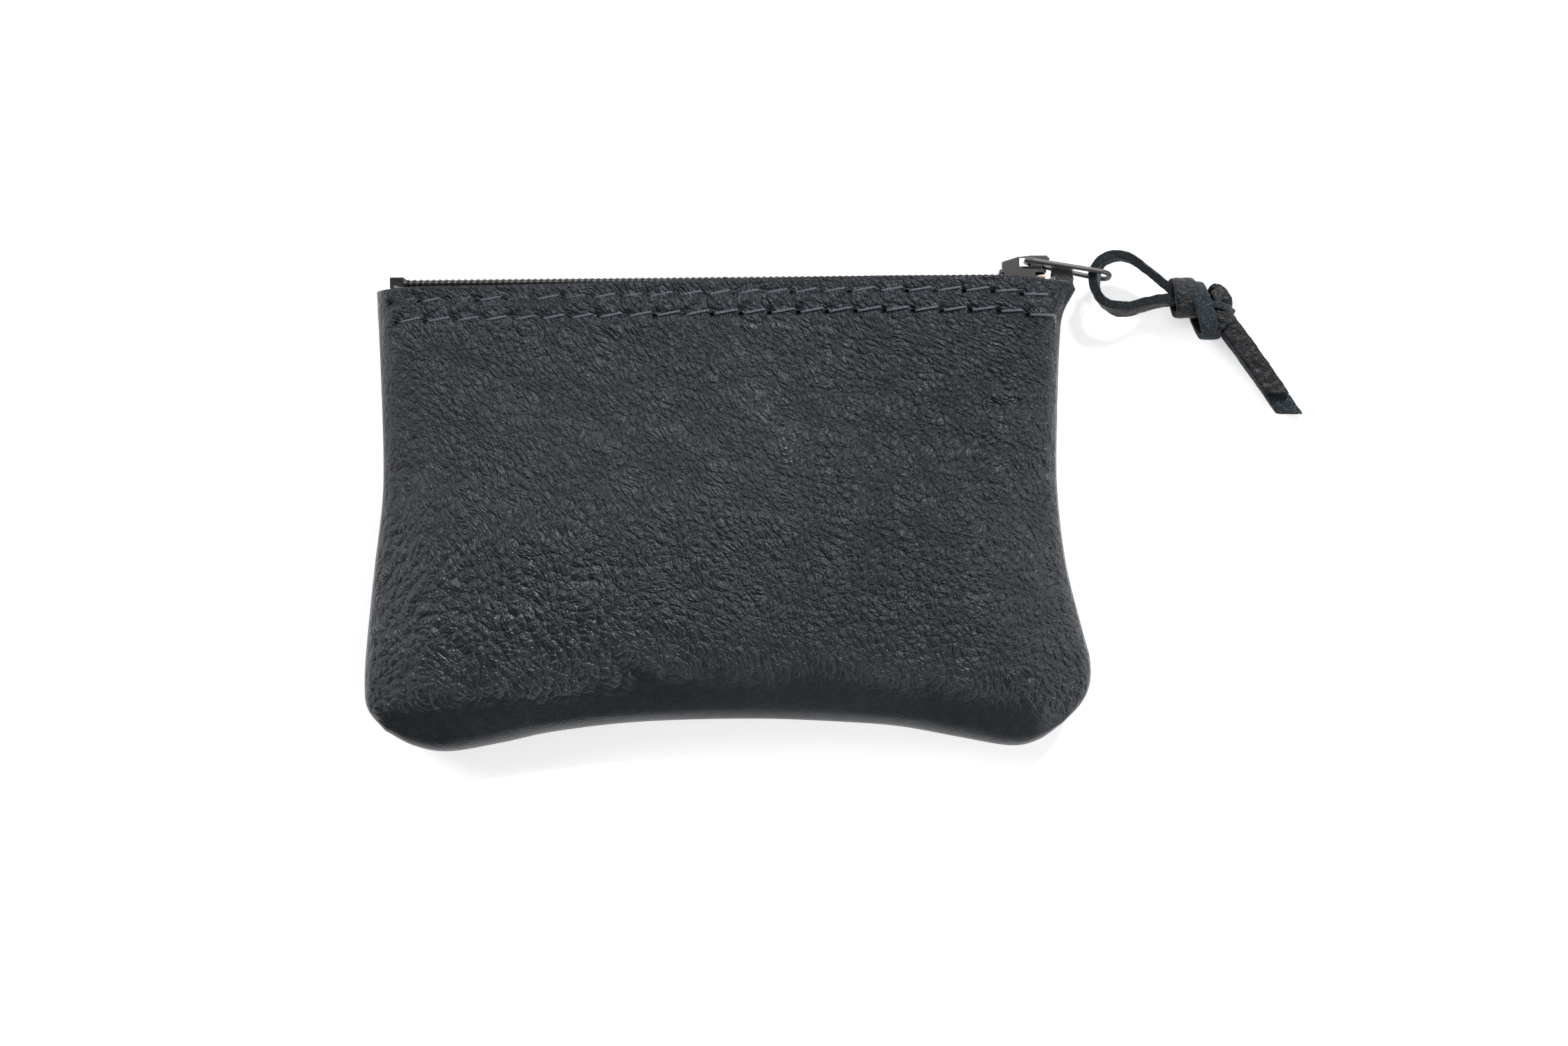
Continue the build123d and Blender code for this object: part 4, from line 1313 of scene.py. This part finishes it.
def make_stage():
    world = bpy.data.worlds.new("studio")
    world.use_nodes = True
    world.node_tree.nodes["Background"].inputs["Color"].default_value = (1.0, 1.0, 1.0, 1.0)
    world.node_tree.nodes["Background"].inputs["Strength"].default_value = 0.26
    bpy.context.scene.world = world
    corners = [(x * FLOOR_HALF, y * FLOOR_HALF, -0.02) for x, y in ((-1, -1), (1, -1), (1, 1), (-1, 1))]
    floor = new_mesh("floor", corners, [(0, 1, 2, 3)], [floor_material()])
    for light in LIGHTS:
        add_light(*light)
    camera_data = bpy.data.cameras.new("camera")
    camera_data.lens = 85.0
    camera_data.sensor_width = 36.0
    camera_data.clip_start, camera_data.clip_end = 0.01, 10.0
    camera = bpy.data.objects.new("camera", camera_data)
    camera.location = Vector((*CAMERA_MIDDLE, SEAM_Z + CAMERA_HEIGHT)) * MM
    camera.rotation_euler = (0.0, 0.0, CAMERA_TURN)
    bpy.context.collection.objects.link(camera)
    bpy.context.scene.camera = camera
    bpy.context.scene.view_settings.view_transform = "Standard"


def floor_material():
    """Pale studio paper that glows a little, so that shadows on it stay faint."""
    material_made, tree, shader = new_material("studio_paper")
    where = millimetres(tree)
    tooth = texture(tree, "ShaderNodeTexNoise", where, 0.6, Detail=3.0)
    tree.links.new(mix_colour(tree, tooth.outputs["Fac"], (0.90, 0.90, 0.90, 1), (0.94, 0.94, 0.94, 1)),
                   shader.inputs["Base Color"])
    shader.inputs["Roughness"].default_value = 0.95
    shader.inputs["Specular IOR Level"].default_value = 0.1
    shader.inputs["Emission Color"].default_value = (1.0, 1.0, 1.0, 1.0)
    shader.inputs["Emission Strength"].default_value = 0.5
    return material_made


def add_light(name, place, size, power):
    """A square soft light that looks at the purse; place and size in millimetres."""
    data = bpy.data.lights.new(name, "AREA")
    data.size = size * MM
    data.energy = power
    light = bpy.data.objects.new(name, data)
    light.location = Vector(place) * MM
    light.rotation_euler = (-light.location).to_track_quat("-Z", "Y").to_euler()
    bpy.context.collection.objects.link(light)


# ---------------------------------------------------------------- operators
class PURSE_OT_stage(bpy.types.Operator):
    """Makes the floor, the lights and the camera"""

    bl_idname = "purse.stage"
    bl_label = "Stage"

    def execute(self, context):
        make_stage()
        return {"FINISHED"}


class PURSE_OT_effects(bpy.types.Operator):
    """Builds the shared grain, suede and wear effects"""

    bl_idname = "purse.effects"
    bl_label = "Shared effects"

    def execute(self, context):
        build_grain_group()
        build_fibre_group()
        build_wear_group()
        return {"FINISHED"}


class PURSE_OT_lace(bpy.types.Operator):
    """Makes the knotted lace: its loop through the wire, the knot and the two tails"""

    bl_idname = "purse.lace"
    bl_label = "Lace"

    def execute(self, context):
        loop, path = make_lace_loop()
        knot = make_lace_knot()
        front_tail = make_tail("lace_tail_front_strip", "lace_tail_front", 18.3, 0.75, True, 2.2, 0.0)
        back_tail = make_tail("lace_tail_back_strip", "lace_tail_back", 22.4, -0.78, False, 2.4, 0.1)
        return {"FINISHED"}


class PURSE_OT_front_panel(bpy.types.Operator):
    """Makes the front leather panel in two halves, left and right of the middle"""

    bl_idname = "purse.front_panel"
    bl_label = "Front panel"

    def execute(self, context):
        make_front_panel()
        return {"FINISHED"}


class PURSE_OT_back_panel(bpy.types.Operator):
    """Makes the back leather panel"""

    bl_idname = "purse.back_panel"
    bl_label = "Back panel"

    def execute(self, context):
        make_back_panel()
        make_seam_thread()
        return {"FINISHED"}


class PURSE_OT_stitches(bpy.types.Operator):
    """Sews the double row of stitches on both sides of the mouth"""

    bl_idname = "purse.stitches"
    bl_label = "Stitches"

    def execute(self, context):
        make_stitches()
        return {"FINISHED"}


class PURSE_OT_zip(bpy.types.Operator):
    """Makes the zip's tapes, coils and end clips"""

    bl_idname = "purse.zip"
    bl_label = "Zip"

    def execute(self, context):
        make_tapes()
        make_tape_ends()
        make_coils()
        make_clips()
        return {"FINISHED"}


class PURSE_OT_slider(bpy.types.Operator):
    """Finishes the slider in gunmetal"""

    bl_idname = "purse.slider"
    bl_label = "Slider"

    def execute(self, context):
        make_slider()
        return {"FINISHED"}


class PURSE_OT_pull(bpy.types.Operator):
    """Finishes the wire pull in gunmetal"""

    bl_idname = "purse.pull"
    bl_label = "Wire pull"

    def execute(self, context):
        make_pull()
        return {"FINISHED"}


class PURSE_PT_parts(bpy.types.Panel):
    """Lists the purse's settings and the steps that make it"""

    bl_idname = "PURSE_PT_parts"
    bl_label = "Coin purse"
    bl_space_type = "VIEW_3D"
    bl_region_type = "UI"
    bl_category = "Purse"

    def draw(self, context):
        for settings in (context.scene.purse_sizes, context.scene.purse_colours):
            for name in settings.__annotations__:
                self.layout.prop(settings, name)
        for operator in OPERATORS:
            self.layout.operator(operator.bl_idname)


OPERATORS = (
    PURSE_OT_stage, PURSE_OT_effects, PURSE_OT_lace, PURSE_OT_front_panel, PURSE_OT_back_panel,
    PURSE_OT_stitches, PURSE_OT_zip, PURSE_OT_slider, PURSE_OT_pull,
)
CLASSES = (PurseSizes, PurseColours, *OPERATORS, PURSE_PT_parts)


def register():
    for cls in CLASSES:
        bpy.utils.register_class(cls)
    bpy.types.Scene.purse_sizes = PointerProperty(type=PurseSizes)
    bpy.types.Scene.purse_colours = PointerProperty(type=PurseColours)


def unregister():
    del bpy.types.Scene.purse_colours
    del bpy.types.Scene.purse_sizes
    for cls in reversed(CLASSES):
        bpy.utils.unregister_class(cls)


def main():
    register()
    for operator in OPERATORS:
        name = operator.bl_idname.split(".")[1]
        getattr(bpy.ops.purse, name)()


if __name__ == "__main__":
    main()
